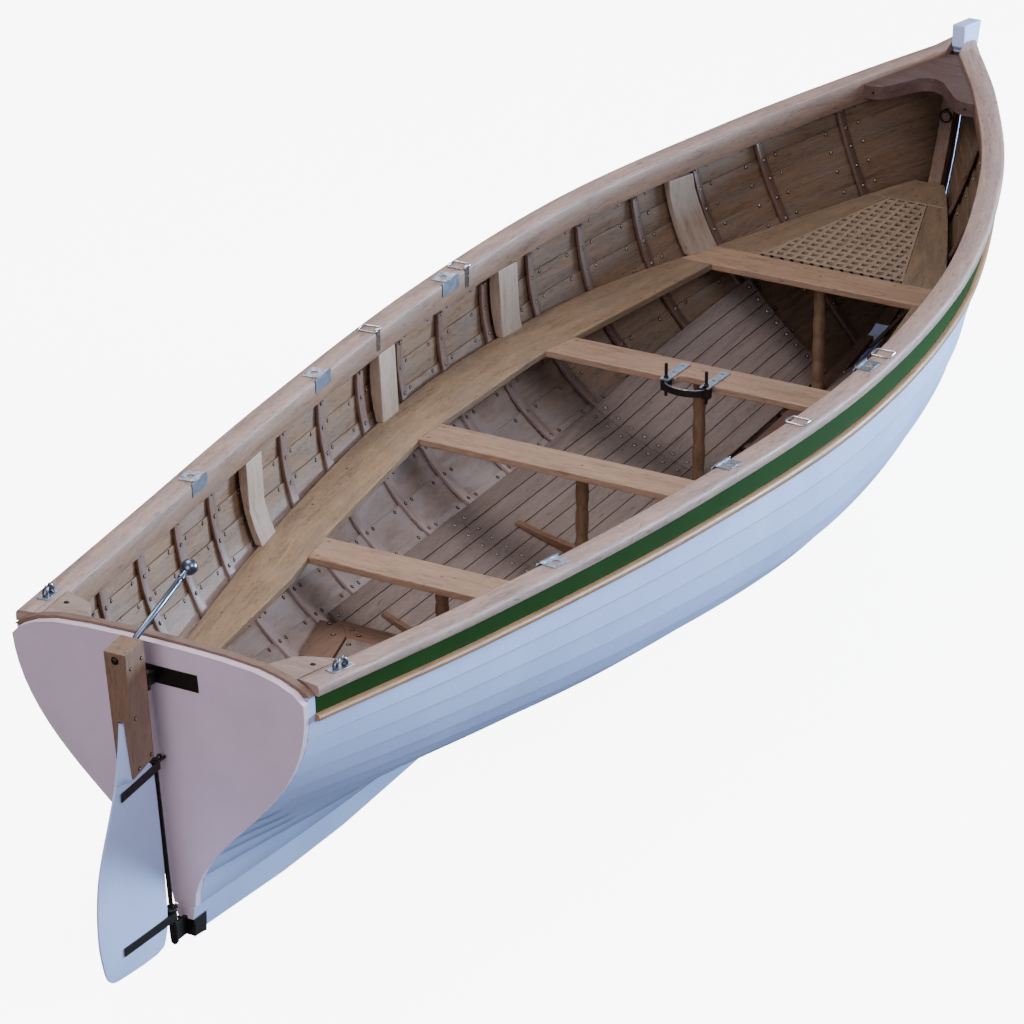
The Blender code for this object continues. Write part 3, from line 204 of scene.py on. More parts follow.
def place_at(along, share, depth=0.0):
    low, high = 0.0, float(LAST_STATION)
    for _ in range(16):
        middle = (low + high) / 2
        if skin(middle, share, depth)[0] < along:
            low = middle
        else:
            high = middle
    return (low + high) / 2


def skin_at(along, share, depth=0.0, side=1):
    return skin(place_at(along, share, depth), share, depth, side)


def between(table, along):
    return float(np.interp(along, [row[0] for row in table], [row[1] for row in table]))


def in_boat(points):
    """Offsets as (along, out, high) turned into places of the frame."""
    return np.asarray(points, float) - (MIDSHIPS, 0, WATERLINE)


def box_ring(along, near, far, low, high):
    """A square section across the boat, from its lower near corner round by the far side."""
    return [(along, near, low), (along, far, low), (along, far, high), (along, near, high)]


# Planking: ten cedar strakes and a deeper top strake on each side, lapped and clenched, painted
# white outside, green on the top strake, and oiled inside. Laps close up flush at both ends.
LOW_PAINT = (-0.17, 0.14)


def noise(tree, where, scale, detail, rough, bend=0.0):
    return add_node(tree, "ShaderNodeTexNoise",
                    {"Vector": where, "Scale": scale, "Detail": detail, "Roughness": rough,
                     "Distortion": bend}).outputs["Fac"]


def spread(tree, value, low, high, to_low=0.0, to_high=1.0, curve="LINEAR"):
    """A value between two limits, spread between two others."""
    return add_node(tree, "ShaderNodeMapRange",
                    {"Value": value, "From Min": low, "From Max": high, "To Min": to_low,
                     "To Max": to_high}, interpolation_type=curve).outputs[0]


def laid_over(tree, share, under, over, blend="MIX"):
    """A share of one colour laid over another."""
    return add_node(tree, "ShaderNodeMix", {"Factor": share, 6: under, 7: over},
                    data_type="RGBA", blend_type=blend).outputs[2]


def joined_by(tree, operation, first, second):
    """Two values joined by a sum, a product or a comparison."""
    return add_node(tree, "ShaderNodeMath", {0: first, 1: second}, operation=operation).outputs[0]


def give_surface(tree, shader, colour, gloss, relief, strength, depth):
    """Joins a finish's colour, its gloss and the relief of its grain to the shader."""
    bump = add_node(tree, "ShaderNodeBump", {"Strength": strength, "Distance": depth,
                                             "Height": relief})
    for source, name in ((colour, "Base Color"), (gloss, "Roughness"),
                         (bump.outputs["Normal"], "Normal")):
        tree.links.new(source, shader.inputs[name])


def painted(name, colour, roughness, speckle=0.05, grit=0.05, bare=(), sheen=0.5, foot=1.0):
    """Brushed gloss paint: a little mottled, with fine grit and shallow brush marks.

    Bare gives the colour of the unpainted timber and the line it lies behind, as (height, along)
    places from the line's foot to its head. Foot is how much of its lightness the paint keeps at the
    bottom, as it darkens towards the bottom.
    """
    material, tree, shader = new_finish(name)
    shader.inputs["Specular IOR Level"].default_value = sheen
    spot = add_node(tree, "ShaderNodeTexCoord").outputs["Object"]
    cloud = noise(tree, spot, 5.0, 6.0, 0.6)
    fine = noise(tree, spot, 420.0, 3.0, 0.7)
    both = add_node(tree, "ShaderNodeMix", {0: 0.45, 2: cloud, 3: fine}).outputs[0]
    coat = two_tone(tree, both, *([min(1.0, part * share) for part in colour]
                                  for share in (1 - speckle * 2, 1 + speckle))).outputs["Color"]
    if bare:
        tone, line = bare
        ahead, _, level = add_node(tree, "ShaderNodeSeparateXYZ", {0: spot}).outputs
        reach = add_node(tree, "ShaderNodeFloatCurve", {"Value": level})
        curve = reach.mapping
        curve.use_clip = False
        for point, end in zip(curve.curves[0].points, (line[0], line[-1])):
            point.location = end
        for high, along in line[1:-1]:
            curve.curves[0].points.new(high, along)
        curve.update()
        inside = joined_by(tree, "LESS_THAN", ahead, reach.outputs[0])
        under = joined_by(tree, "LESS_THAN", level, line[-1][0])
        over = joined_by(tree, "GREATER_THAN", level, line[0][0])
        for limit in (under, over):
            inside = joined_by(tree, "MULTIPLY", inside, limit)
        coat = laid_over(tree, inside, coat, (*tone, 1))
    # The paint darkens towards the bottom of the hull.
    if foot < 1:
        level = add_node(tree, "ShaderNodeSeparateXYZ", {0: spot}).outputs[2]
        kept = spread(tree, level, *LOW_PAINT, foot, 1.0, "SMOOTHSTEP")
        coat = laid_over(tree, 1.0, coat, kept, "MULTIPLY")
    gloss = spread(tree, cloud, 0.3, 0.7, roughness - 0.07, roughness + 0.09)
    give_surface(tree, shader, coat, gloss, fine, grit, 0.002)
    return material


WORN_LIFT = 2.6
# The last pair spans the painted shade towards the bow, from where it starts to where it is deepest.
WORN_LEVELS, WORN_PLACES, BOW_SHADE_PLACES = (0.26, 0.36), (0.0, 0.9), (-0.7, 1.6)
STRETCH = {"MAP": (1.0, 9.0, 9.0), "X": (1.0, 9.0, 9.0), "Y": (9.0, 1.0, 9.0), "Z": (9.0, 9.0, 1.0)}


def wood(name, light, dark, stain, run="MAP", roughness=0.5, soiled=0.55, pore=0.30, figure=1.0,
         low=None, fore=1.0):
    """Oiled timber: fibres and broad figure along the run, weathered patches and small dark flecks.

    A low colour is the tone it has worn to below the seats, aft of amidships and in patches. Fore
    is how much of its lightness it keeps at the bow, as painted shade for the dim narrow bow.
    """
    material, tree, shader = new_finish(name)
    if run == "MAP":
        spot = add_node(tree, "ShaderNodeUVMap", uv_map="map").outputs["UV"]
    else:
        spot = add_node(tree, "ShaderNodeTexCoord").outputs["Object"]
    drawn = add_node(tree, "ShaderNodeMapping", {"Vector": spot, "Scale": STRETCH[run]}).outputs[0]
    half = tuple(1 + (part - 1) * 0.22 for part in STRETCH[run])
    eased = add_node(tree, "ShaderNodeMapping", {"Vector": spot, "Scale": half}).outputs[0]
    fibre = noise(tree, drawn, 34.0 * figure, 7.0, 0.66, 0.25)
    broad = noise(tree, drawn, 4.6 * figure, 5.0, 0.6, 0.9)
    patch = noise(tree, eased, 5.2, 6.0, 0.62, 0.3)
    fleck = noise(tree, eased, 21.0, 3.0, 0.5, 0.6)
    grain = add_node(tree, "ShaderNodeMix", {0: 0.46, 2: fibre, 3: broad}).outputs[0]
    ramp = two_tone(tree, grain, dark, light, (0.36, 0.62))
    middle = ramp.color_ramp.elements.new(0.47)
    middle.color = (*[0.42 * a + 0.58 * b for a, b in zip(dark, light)], 1)
    worn = spread(tree, patch, 0.46, 0.72, 0.0, soiled)
    aged = laid_over(tree, worn, ramp.outputs["Color"], (*stain, 1))
    spots = spread(tree, fleck, 0.66, 0.78, 0.0, 0.7)
    marked = laid_over(tree, spots, aged, (*[part * 0.45 for part in dark], 1))
    where = add_node(tree, "ShaderNodeTexCoord").outputs["Object"]
    ahead, _, level = add_node(tree, "ShaderNodeSeparateXYZ", {0: where}).outputs
    # Painted shade: the wood darkens towards the bow, where little light reaches.
    if fore < 1:
        kept = spread(tree, ahead, *BOW_SHADE_PLACES, 1.0, fore, "SMOOTHSTEP")
        marked = laid_over(tree, 1.0, marked, kept, "MULTIPLY")
    if low:
        worn_low = spread(tree, level, *WORN_LEVELS, 0.8, 0.0)
        faded = laid_over(tree, 0.65, (*low, 1), marked, "MULTIPLY")
        lifted = laid_over(tree, 1.0, faded, (*[WORN_LIFT] * 3, 1), "MULTIPLY")
        trodden = spread(tree, ahead, *WORN_PLACES, 1.0, 0.0, "SMOOTHSTEP")
        patchy = spread(tree, patch, 0.40, 0.56, 0.62)
        for share in (trodden, patchy):
            worn_low = joined_by(tree, "MULTIPLY", worn_low, share)
        marked = laid_over(tree, worn_low, marked, lifted)
    gloss = spread(tree, patch, 0.3, 0.7, roughness - 0.10, roughness + 0.14)
    give_surface(tree, shader, marked, gloss, grain, pore, 0.0012)
    return material


def shell(rings, closed=True, capped=True, lead=0.0, marks=None):
    """Points, faces, map and finish numbers of a skin through rings; the map is in metres."""
    rings = np.asarray(rings, float)
    count, size = rings.shape[:2]
    run = np.linalg.norm(np.diff(rings, axis=0), axis=2).mean(1)
    run = np.concatenate([[0], np.cumsum(run)])
    loop = np.concatenate([rings, rings[:, :1]], axis=1)
    girth = np.concatenate([[0], np.cumsum(np.linalg.norm(np.diff(loop, axis=1), axis=2).mean(0))])
    faces, maps, numbers = [], [], []
    for row in range(count - 1):
        for k in range(size if closed else size - 1):
            n = (k + 1) % size
            a, b = row * size, (row + 1) * size
            faces.append((a + k, a + n, b + n, b + k))
            maps.append([(run[row], lead + girth[k]), (run[row], lead + girth[k + 1]),
                         (run[row + 1], lead + girth[k + 1]), (run[row + 1], lead + girth[k])])
            numbers.append(marks[k] if marks is not None else 0)
    if capped:
        for row in (0, count - 1):
            faces.append(tuple(row * size + k for k in range(size)))
            maps.append([(point[1] * 0.2 + lead, point[2] * 0.2) for point in rings[row]])
            numbers.append(marks[0] if marks is not None else 0)
    return rings.reshape(-1, 3), faces, maps, numbers


def make_piece(name, shells, finishes, body="hull", stands_for=(), edge=0.0,
               crease=32, rounds=2):
    """One piece from its shells, its edges eased, riding on a body."""
    points, faces, maps, numbers = [], [], [], []
    for part_points, part_faces, part_maps, part_numbers in shells:
        start = len(points)
        points.extend(map(tuple, part_points))
        faces.extend(tuple(start + k for k in face) for face in part_faces)
        maps.extend(part_maps)
        numbers.extend(part_numbers)
    mesh = bpy.data.meshes.new(name)
    mesh.from_pydata(points, [], faces)
    layer = mesh.uv_layers.new(name="map")
    layer.data.foreach_set("uv", np.array([uv for face in maps for uv in face], np.float32).ravel())
    mesh.polygons.foreach_set("material_index", numbers)
    work = bmesh.new()
    work.from_mesh(mesh)
    bmesh.ops.recalc_face_normals(work, faces=work.faces)
    work.to_mesh(mesh)
    work.free()
    for finish in finishes:
        mesh.materials.append(finish)
    mesh.polygons.foreach_set("use_smooth", [True] * len(mesh.polygons))
    mesh.set_sharp_from_angle(angle=math.radians(crease))
    piece = bpy.data.objects.new(name, mesh)
    bpy.context.scene.collection.objects.link(piece)
    if edge:
        ease = piece.modifiers.new("eased_edges", "BEVEL")
        ease.width, ease.segments, ease.limit_method = edge, rounds, "ANGLE"
        ease.angle_limit = math.radians(crease)
    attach(piece, body)
    if stands_for:
        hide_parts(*stands_for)
    return piece


white_paint = painted("white_paint", (0.50, 0.61, 1.0), 0.42, foot=0.66)
blade_paint = painted("blade_paint", (0.50, 0.61, 1.0), 0.40)
# Painted light: the transom's white paint, dimmed and tinted lilac for the weaker, pinker light on it.
shaded_transom_paint = painted("shaded_transom_paint", (0.70, 0.575, 0.69), 0.45)
green_paint = painted("green_paint", (0.009, 0.040, 0.003), 0.60, speckle=0.10, sheen=0.10)
strake_wood = wood("strake_wood", (0.34, 0.205, 0.125), (0.09, 0.048, 0.028), (0.22, 0.19, 0.18),
                   low=(0.45, 0.43, 0.46), fore=0.50)

STRAKES, STRAKE_GROWTH, SHEER_STRAKE_SHARE = 10, 0.60, 0.085
SHEER_STRAKE_GAP = 0.0008
LAP_SHARE = 0.018 / NOMINAL_GIRTH
CHAMFER, SEAM_WIDE, LAP_EASE = 0.0014, 0.0030, 0.75
widths = [1 + STRAKE_GROWTH * (STRAKES - 1 - k) / (STRAKES - 1) for k in range(STRAKES)]
STRAKE_EDGES = [float(edge) for edge in
                np.concatenate([[0], np.cumsum(widths)]) * (1 - SHEER_STRAKE_SHARE) / sum(widths)]
ROWS = np.linspace(0, LAST_STATION, LAST_STATION * ROWS_BETWEEN_STATIONS + 1)


def strake_ring(place, number, side):
    """A plank's section: its lower edge laps outside the plank below, its upper edge lies under."""
    step = LAP_STEP * min(1.0, place / LAP_EASE, (LAST_STATION - place) / LAP_EASE)
    low, high = STRAKE_EDGES[number], STRAKE_EDGES[number + 1]
    middle, over = (low + high) / 2, high + LAP_SHARE
    chamfer, seam = CHAMFER / NOMINAL_GIRTH, SEAM_WIDE / NOMINAL_GIRTH
    section = [(low, CHAMFER), (low + seam, 0.0), (middle, step / 2), (high, step), (over, step),
               (over, step + PLANK - CHAMFER), (over - chamfer, step + PLANK),
               (middle, step / 2 + PLANK), (low, PLANK)]
    return [skin(place, share, depth, side) for share, depth in section]


# The seam faces along each lap's lower edge take a dark blue-grey, as painted shade under the lap.
WHITE, WOOD, SEAM = 0, 1, 2
STRAKE_MARKS = (SEAM, WHITE, WHITE, WHITE, WOOD, WOOD, WOOD, WOOD, SEAM)
painted_seam_shade = painted("painted_seam_shade", (0.17, 0.19, 0.27), 0.6)
for word, side in SIDES:
    shells = [shell(in_boat([strake_ring(place, number, side) for place in ROWS]),
                    lead=number * 3.7 + side, marks=STRAKE_MARKS) for number in range(STRAKES)]
    make_piece(f"strakes_{word}", shells, [white_paint, strake_wood, painted_seam_shade],
               stands_for=[f"planking_{word}"])

SHEER_STRAKE_LOW = STRAKE_EDGES[-1] + SHEER_STRAKE_GAP
MOULDING_HALF = 0.013
MOULDING_PART = 2 * MOULDING_HALF / NOMINAL_GIRTH / (1 - SHEER_STRAKE_LOW)


def on_sheer_strake(place, part, depth, side):
    foot = np.array(skin(place, SHEER_STRAKE_LOW, depth, side))
    head = np.array(skin(place, 1.0, depth, side))
    return foot * (1 - part) + head * part


GREEN_FROM, PAINT_LINE = 0.034, 0.0004
GREEN, OILED, WHITE_END = 0, 1, 2
TOP_STRAKE_MARKS = (GREEN, GREEN, GREEN, OILED, GREEN)
for word, side in SIDES:
    rings = []
    for place in np.concatenate([[0, GREEN_FROM - PAINT_LINE, GREEN_FROM], ROWS[1:]]):
        ring = [on_sheer_strake(place, part, 0.0, side) for part in (0, MOULDING_PART, 1)]
        ring += [on_sheer_strake(place, part, PLANK_INSIDE, side) for part in (1, 0)]
        ring[3][2] = min(ring[3][2], ring[2][2])
        rings.append(ring)
    points, faces, maps, numbers = shell(in_boat(rings), lead=41.0, marks=TOP_STRAKE_MARKS)
    after_faces = 2 * len(TOP_STRAKE_MARKS)
    numbers[:after_faces] = [WHITE_END] * after_faces
    numbers[-2] = WHITE_END
    make_piece(f"top_strake_{word}", [(points, faces, maps, numbers)],
               [green_paint, strake_wood, white_paint],
               stands_for=[f"sheer_strake_{word}"])

# Backbone and transom: oak keel, skeg and stem, and a wide transom board, all painted white. The
# brown framing inside the transom stands a finger's width above it.
EDGE_ANGLE, SEAM_CLOSE = math.radians(35), 0.00002


def dress(name, finish, edge=0.0, rounds=2):
    """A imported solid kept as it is, with its finish and eased edges."""
    solid = nodes[name]
    for slot in solid.material_slots:
        slot.material = finish
    if edge:
        solid.modifiers.new("closed_seams", "WELD").merge_threshold = SEAM_CLOSE
        ease = solid.modifiers.new("eased_edges", "BEVEL")
        ease.width, ease.segments, ease.limit_method = edge, rounds, "ANGLE"
        ease.angle_limit = EDGE_ANGLE


stem_wood = wood("stem_wood", (0.30, 0.18, 0.12), (0.12, 0.06, 0.04), (0.20, 0.13, 0.10),
                 run="Z", fore=0.6)
frame_wood = wood("transom_frame_wood", (0.22, 0.135, 0.095), (0.09, 0.05, 0.035),
                  (0.15, 0.10, 0.085), run="Y")
RABBET_BEHIND = 0.005
RABBET = [(high - WATERLINE, along - MIDSHIPS - RABBET_BEHIND) for along, _, high in
          (skin(LAST_STATION, share) for share in (0.0, 0.25, 0.5, 0.75, 1.0))]
stem_paint = painted("stem_paint", (0.52, 0.62, 0.98), 0.42, bare=((0.075, 0.045, 0.03), RABBET))
dress("keel", white_paint, 0.002)
dress("stem", stem_paint, 0.003)
dress("apron", stem_wood, 0.002)
dress("transom", shaded_transom_paint, 0.004, 3)
dress("transom_frame", frame_wood, 0.002)

# Ribs: steamed oak strips bent in hot from the inwale down to the keel, an easy curve that bears
# on the plank laps, over them the keelson that holds them down along the middle.
RIB_PLACES = (0.478, 0.719, 0.956, 1.178, 1.412, 1.645, 1.889, 2.140, 2.387, 2.628, 2.868, 3.108,
              3.348, 3.585, 3.830, 4.074)
RIB_WIDTH, RIB_THICK, RIB_ROUNDING = 0.034, 0.0112, 0.0014
RIB_OUTSIDE = PLANK_INSIDE + 0.0013
RIB_INSIDE = RIB_OUTSIDE + RIB_THICK
KEEL_TOP_RISE = 0.018
KEEL_TOP = tuple((along, skin_at(along, 0.0)[2] + KEEL_TOP_RISE) for along in
                 (0.28, 0.45, 0.75, 1.15, 1.60, 2.05, 2.50, 2.90, 3.30, 3.60, 3.90, 4.15))
KEELSON_HALF = ((0.45, 0.016), (0.75, 0.018), (1.25, 0.026), (1.60, 0.034), (3.30, 0.034),
                (3.90, 0.022), (4.15, 0.016))
KEELSON_THICK, KEELSON_BITE, KEELSON_ENDS = 0.018, 0.005, (0.45, 4.10)
KEELSON_RISE = RIB_THICK - KEELSON_BITE + KEELSON_THICK
RIB_HEAD_SHARE = 0.925


def shape_tree(name, wants, makes):
    """A node tree with named inputs and one geometry for its output, and the inputs' sockets."""
    tree = bpy.data.node_groups.new(name, "GeometryNodeTree")
    for label, kind in wants:
        tree.interface.new_socket(label, in_out="INPUT", socket_type="NodeSocket" + kind)
    tree.interface.new_socket(makes, in_out="OUTPUT", socket_type="NodeSocketGeometry")
    return tree, add_node(tree, "NodeGroupInput").outputs


def bent_bar_tree():
    """Sweeps a rounded bar along lines that carry their facing and their lead into the timber."""
    tree, given = shape_tree("bent_bar", (("Lines", "Geometry"), ("Width", "Float"),
                                          ("Thickness", "Float"), ("Rounding", "Float"),
                                          ("Finish", "Material")), "Bars")

    def attribute(label, kind="FLOAT"):
        return add_node(tree, "GeometryNodeInputNamedAttribute", {"Name": label},
                        data_type=kind).outputs["Attribute"]

    lines = add_node(tree, "GeometryNodeMeshToCurve", {"Mesh": given["Lines"]}).outputs[0]
    faced = add_node(tree, "GeometryNodeSetCurveNormal",
                     {"Curve": lines, "Normal": attribute("facing", "FLOAT_VECTOR")},
                     mode="FREE").outputs[0]
    length = add_node(tree, "GeometryNodeSplineParameter").outputs["Length"]
    measured = add_node(tree, "GeometryNodeStoreNamedAttribute",
                        {"Geometry": faced, "Name": "run", "Value": length}).outputs[0]
    outline = add_node(tree, "GeometryNodeCurvePrimitiveQuadrilateral",
                       {"Width": given["Thickness"], "Height": given["Width"]}).outputs[0]
    rounded = add_node(tree, "GeometryNodeFilletCurve", {"Curve": outline, "Count": 2,
                                                         "Radius": given["Rounding"]},
                       mode="POLY").outputs[0]
    around = add_node(tree, "GeometryNodeSplineParameter").outputs["Length"]
    wrapped = add_node(tree, "GeometryNodeStoreNamedAttribute",
                       {"Geometry": rounded, "Name": "girth", "Value": around}).outputs[0]
    bars = add_node(tree, "GeometryNodeCurveToMesh", {"Curve": measured, "Profile Curve": wrapped,
                                                      "Fill Caps": True}).outputs[0]
    across = joined_by(tree, "ADD", attribute("girth"), attribute("lead"))
    place = add_node(tree, "ShaderNodeCombineXYZ", {"X": attribute("run"), "Y": across}).outputs[0]
    mapped = add_node(tree, "GeometryNodeStoreNamedAttribute",
                      {"Geometry": bars, "Name": "map"}, data_type="FLOAT2", domain="CORNER")
    tree.links.new(place, [s for s in mapped.inputs if s.name == "Value" and s.enabled][0])
    real = add_node(tree, "GeometryNodeRealizeInstances", {0: mapped.outputs[0]}).outputs[0]
    done = add_node(tree, "GeometryNodeSetMaterial", {"Geometry": real,
                                                      "Material": given["Finish"]}).outputs[0]
    add_node(tree, "NodeGroupOutput", {0: done})
    return tree


def grown(name, points, tree, inputs, edges=(), attributes=None, body="hull",
          stands_for=(), crease=32):
    """A piece that a node tree grows from points or lines, kept as a plain mesh."""
    seed_mesh = bpy.data.meshes.new(name)
    seed_mesh.from_pydata([tuple(point) for point in points], list(edges), [])
    for label, (kind, values) in (attributes or {}).items():
        layer = seed_mesh.attributes.new(label, kind, "POINT")
        field = "vector" if kind == "FLOAT_VECTOR" else "value"
        layer.data.foreach_set(field, np.asarray(values, np.float32).ravel())
    piece = bpy.data.objects.new(name, seed_mesh)
    bpy.context.scene.collection.objects.link(piece)
    modifier = piece.modifiers.new("grown", "NODES")
    modifier.node_group = tree
    sockets = {item.name: item.identifier for item in tree.interface.items_tree
               if item.in_out == "INPUT"}
    for label, value in inputs.items():
        modifier[sockets[label]] = value
    graph = bpy.context.evaluated_depsgraph_get()
    graph.update()
    mesh = bpy.data.meshes.new_from_object(piece.evaluated_get(graph))
    piece.modifiers.clear()
    piece.data = mesh
    mesh.polygons.foreach_set("use_smooth", [True] * len(mesh.polygons))
    mesh.set_sharp_from_angle(angle=math.radians(crease))
    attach(piece, body)
    if stands_for:
        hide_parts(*stands_for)
    return piece


bent_bar = bent_bar_tree()
rib_wood = wood("rib_wood", (0.235, 0.135, 0.10), (0.095, 0.05, 0.038), (0.18, 0.125, 0.115),
                roughness=0.42, low=(0.52, 0.46, 0.48), fore=0.55)
rib_points, rib_edges, rib_facings, rib_leads = [], [], [], []
RIB_SHARES = np.concatenate([np.linspace(RIB_HEAD_SHARE, 0.06, 24), [0.03, 0.012]])
rib_middle = (RIB_OUTSIDE + RIB_INSIDE) / 2
BOW_RIB, BOW_RIB_FOOT = 4.360, 0.50
for number, along in enumerate(RIB_PLACES):
    halves, keel_high = {}, between(KEEL_TOP, along) + RIB_THICK / 2
    for side in (1, -1):
        line, facing = [], []
        for share in RIB_SHARES:
            place = place_at(along, share, rib_middle)
            point = skin(place, share, rib_middle, side)
            inward = blend_grid(INWARD, place, share) * (1, side, 1)
            inward[0] = 0
            line.append((along, point[1], max(point[2], keel_high)))
            facing.append(inward / np.linalg.norm(inward))
        halves[side] = line, facing
    line = halves[1][0] + [(along, 0.0, keel_high)] + halves[-1][0][::-1]
    facing = halves[1][1] + [np.array((0.0, 0.0, 1.0))] + halves[-1][1][::-1]
    start = len(rib_points)
    rib_points += [tuple(point) for point in in_boat(line)]
    rib_edges += [(start + k, start + k + 1) for k in range(len(line) - 1)]
    rib_facings += [tuple(way) for way in facing]
    rib_leads += [number * 0.61] * len(line)
for side in (1, -1):
    start = len(rib_points)
    for share in np.linspace(RIB_HEAD_SHARE, BOW_RIB_FOOT, 10):
        place = place_at(BOW_RIB, share, rib_middle)
        inward = blend_grid(INWARD, place, share) * (0, side, 1)
        rib_points.append(tuple(in_boat([skin(place, share, rib_middle, side)])[0]))
        rib_facings.append(tuple(inward / np.linalg.norm(inward)))
        rib_leads.append(11.0 + side)
    rib_edges += [(k, k + 1) for k in range(start, len(rib_points) - 1)]
grown("ribs", rib_points, bent_bar, {"Width": RIB_WIDTH, "Thickness": RIB_THICK,
                                     "Rounding": RIB_ROUNDING, "Finish": rib_wood},
      edges=rib_edges, attributes={"facing": ("FLOAT_VECTOR", rib_facings),
                                   "lead": ("FLOAT", rib_leads)},
      stands_for=["frames"])

keelson_rings = []
for along in np.linspace(*KEELSON_ENDS, 40):
    top, half = between(KEEL_TOP, along) + KEELSON_RISE, between(KEELSON_HALF, along)
    keelson_rings.append(box_ring(along, -half, half, top - KEELSON_THICK, top))
make_piece("keelson", [shell(in_boat(keelson_rings), lead=17.0)], [rib_wood], edge=0.002)

# Rails: a wide oak cap over the plank edges with a deep inwale beneath it, its corners rounded
# over, and a half-round rubbing strake bent along the lower edge of the green strake.
RAIL_PROUD, RAIL_WIDTH, RAIL_THICK, RAIL_SEAT = 0.014, 0.072, 0.030, 0.0006
RAIL_INNER = RAIL_PROUD - RAIL_WIDTH
INWALE_DEPTH, INWALE_CLEAR, INWALE_LEAST = 0.080, 0.0012, 0.006
RAIL_ENDS, RAIL_SHOULDERS, INWALE_ENDS = (0.0525, 4.69), (0.0635, 4.505), (0.064, 4.50)
ROUND_OVER, ROUND_STEP, ARRIS = 0.009, 0.0026, 0.003


def edge_frame(along):
    """The hull's edge, its outward direction in plan, and how far the side flares below it."""
    edge = skin_at(along, 1.0)
    fore, aft = skin_at(along + 0.02, 1.0), skin_at(along - 0.02, 1.0)
    run = math.hypot(fore[0] - aft[0], fore[1] - aft[1])
    lower = skin_at(along, SHEER_STRAKE_LOW)
    flare = max(0.0, (edge[1] - lower[1]) / (edge[2] - lower[2]))
    return (*edge, -(fore[1] - aft[1]) / run, (fore[0] - aft[0]) / run, flare)


FINE_STATIONS = np.linspace(*RAIL_ENDS, 97)
RAIL_FRAMES = np.array([edge_frame(along) for along in FINE_STATIONS])


def rail_frame(along):
    return [float(np.interp(along, FINE_STATIONS, column)) for column in RAIL_FRAMES.T]


def beside_rail(along, side, offset, rise):
    """A place measured outboard of the hull's edge and above it, kept clear of the stem."""
    place, out, high, fore, outboard, _ = rail_frame(along)
    out = max(out + outboard * offset, BACKBONE_HALF + SEAT_GAP)
    return place + fore * offset, side * out, high + rise


INNER_EDGE = np.array([beside_rail(along, 1, RAIL_INNER, RAIL_THICK) for along in FINE_STATIONS])


def rail_inner(along):
    """How far out the rail's inner face lies, and how high its top edge."""
    return [float(np.interp(along, INNER_EDGE[:, 0], INNER_EDGE[:, k])) for k in (1, 2)]


rail_wood = wood("rail_wood", (0.44, 0.305, 0.26), (0.13, 0.078, 0.066), (0.26, 0.192, 0.188),
                 roughness=0.55, soiled=0.75, pore=0.25)
# The inwale's darker wood dresses the rail's inner side and underside, deepened as painted shade.
inwale_wood_shaded = wood("inwale_wood_shaded", (0.33, 0.20, 0.14), (0.12, 0.065, 0.045), (0.21, 0.14, 0.115),
                   fore=0.8)
RAIL_MARKS = (0, 0, 0, 0, 0, 1, 1, 1, 1, 1, 1, 0)
RAIL_END_RISE, RAIL_END_RUN, RAIL_END_FOOT = 0.005, 0.03, 0.0045


def rail_ring(along, side, foot):
    """The rail's section with the inwale reaching down to the foot."""
    flare = rail_frame(along)[5]
    outer = -(PLANK_INSIDE * math.hypot(1, flare) + INWALE_CLEAR - flare * foot)
    top, inner, back = RAIL_THICK, RAIL_INNER, max(outer, RAIL_INNER + INWALE_LEAST)
    section = [(RAIL_PROUD, RAIL_SEAT + 0.002), (RAIL_PROUD, top - ROUND_OVER),
               (RAIL_PROUD - ROUND_STEP, top - ROUND_STEP), (RAIL_PROUD - ROUND_OVER, top),
               (inner + ROUND_OVER, top), (inner + ROUND_STEP, top - ROUND_STEP),
               (inner, top - ROUND_OVER), (inner, foot + ARRIS), (inner + ARRIS, foot),
               (back, foot), (back, RAIL_SEAT), (RAIL_PROUD - 0.002, RAIL_SEAT)]
    return [beside_rail(along, side, offset, rise) for offset, rise in section]


deep, shallow = RAIL_THICK - INWALE_DEPTH, RAIL_SEAT - RAIL_END_FOOT
stations = [(along, deep) for along in np.linspace(*INWALE_ENDS, 90)]
stations += [(along, shallow) for along in np.linspace(RAIL_SHOULDERS[1], RAIL_ENDS[1], 8)]
for word, side in SIDES:
    rings = [rail_ring(along, side, foot) for along, foot in
             [(RAIL_ENDS[0], shallow), (RAIL_SHOULDERS[0], shallow)] + stations]
    before, last = (np.array(rail_ring(along, side, shallow))
                    for along in (RAIL_ENDS[1] - RAIL_END_RUN, RAIL_ENDS[1]))
    for reach in (0.5, 1.0, 1.6):
        ring = last + (last - before) * reach + (0, 0, RAIL_END_RISE * reach)
        ring[:, 1] = side * np.maximum(side * ring[:, 1], BACKBONE_HALF + SEAT_GAP)
        rings.append([tuple(map(float, point)) for point in ring])
    make_piece(f"rail_{word}", [shell(in_boat(rings), lead=side * 2.3, marks=RAIL_MARKS)],
               [rail_wood, inwale_wood_shaded], stands_for=[f"gunwale_{word}"], crease=50)

moulding_wood = wood("moulding_wood", (0.42, 0.23, 0.11), (0.17, 0.08, 0.035), (0.26, 0.15, 0.09),
                     roughness=0.42)
MOULDING_PROUD = 0.0155
for word, side in SIDES:
    rings = []
    for place in [GREEN_FROM - 0.003] + [place for place in ROWS if place > GREEN_FROM]:
        ring = []
        for turn in np.linspace(0, math.pi, 11):
            part = (1 - math.cos(turn)) / 2 * MOULDING_PART
            swell = 0.02 + 0.98 * math.sin(turn) ** 0.75
            ring.append(on_sheer_strake(place, part, -2 * SEAT_GAP - swell * MOULDING_PROUD, side))
        rings.append(ring)
    make_piece(f"rubbing_strake_bent_{word}", [shell(in_boat(rings), lead=side * 5.1)],
               [moulding_wood], stands_for=[f"rubbing_strake_{word}"],
               crease=50)

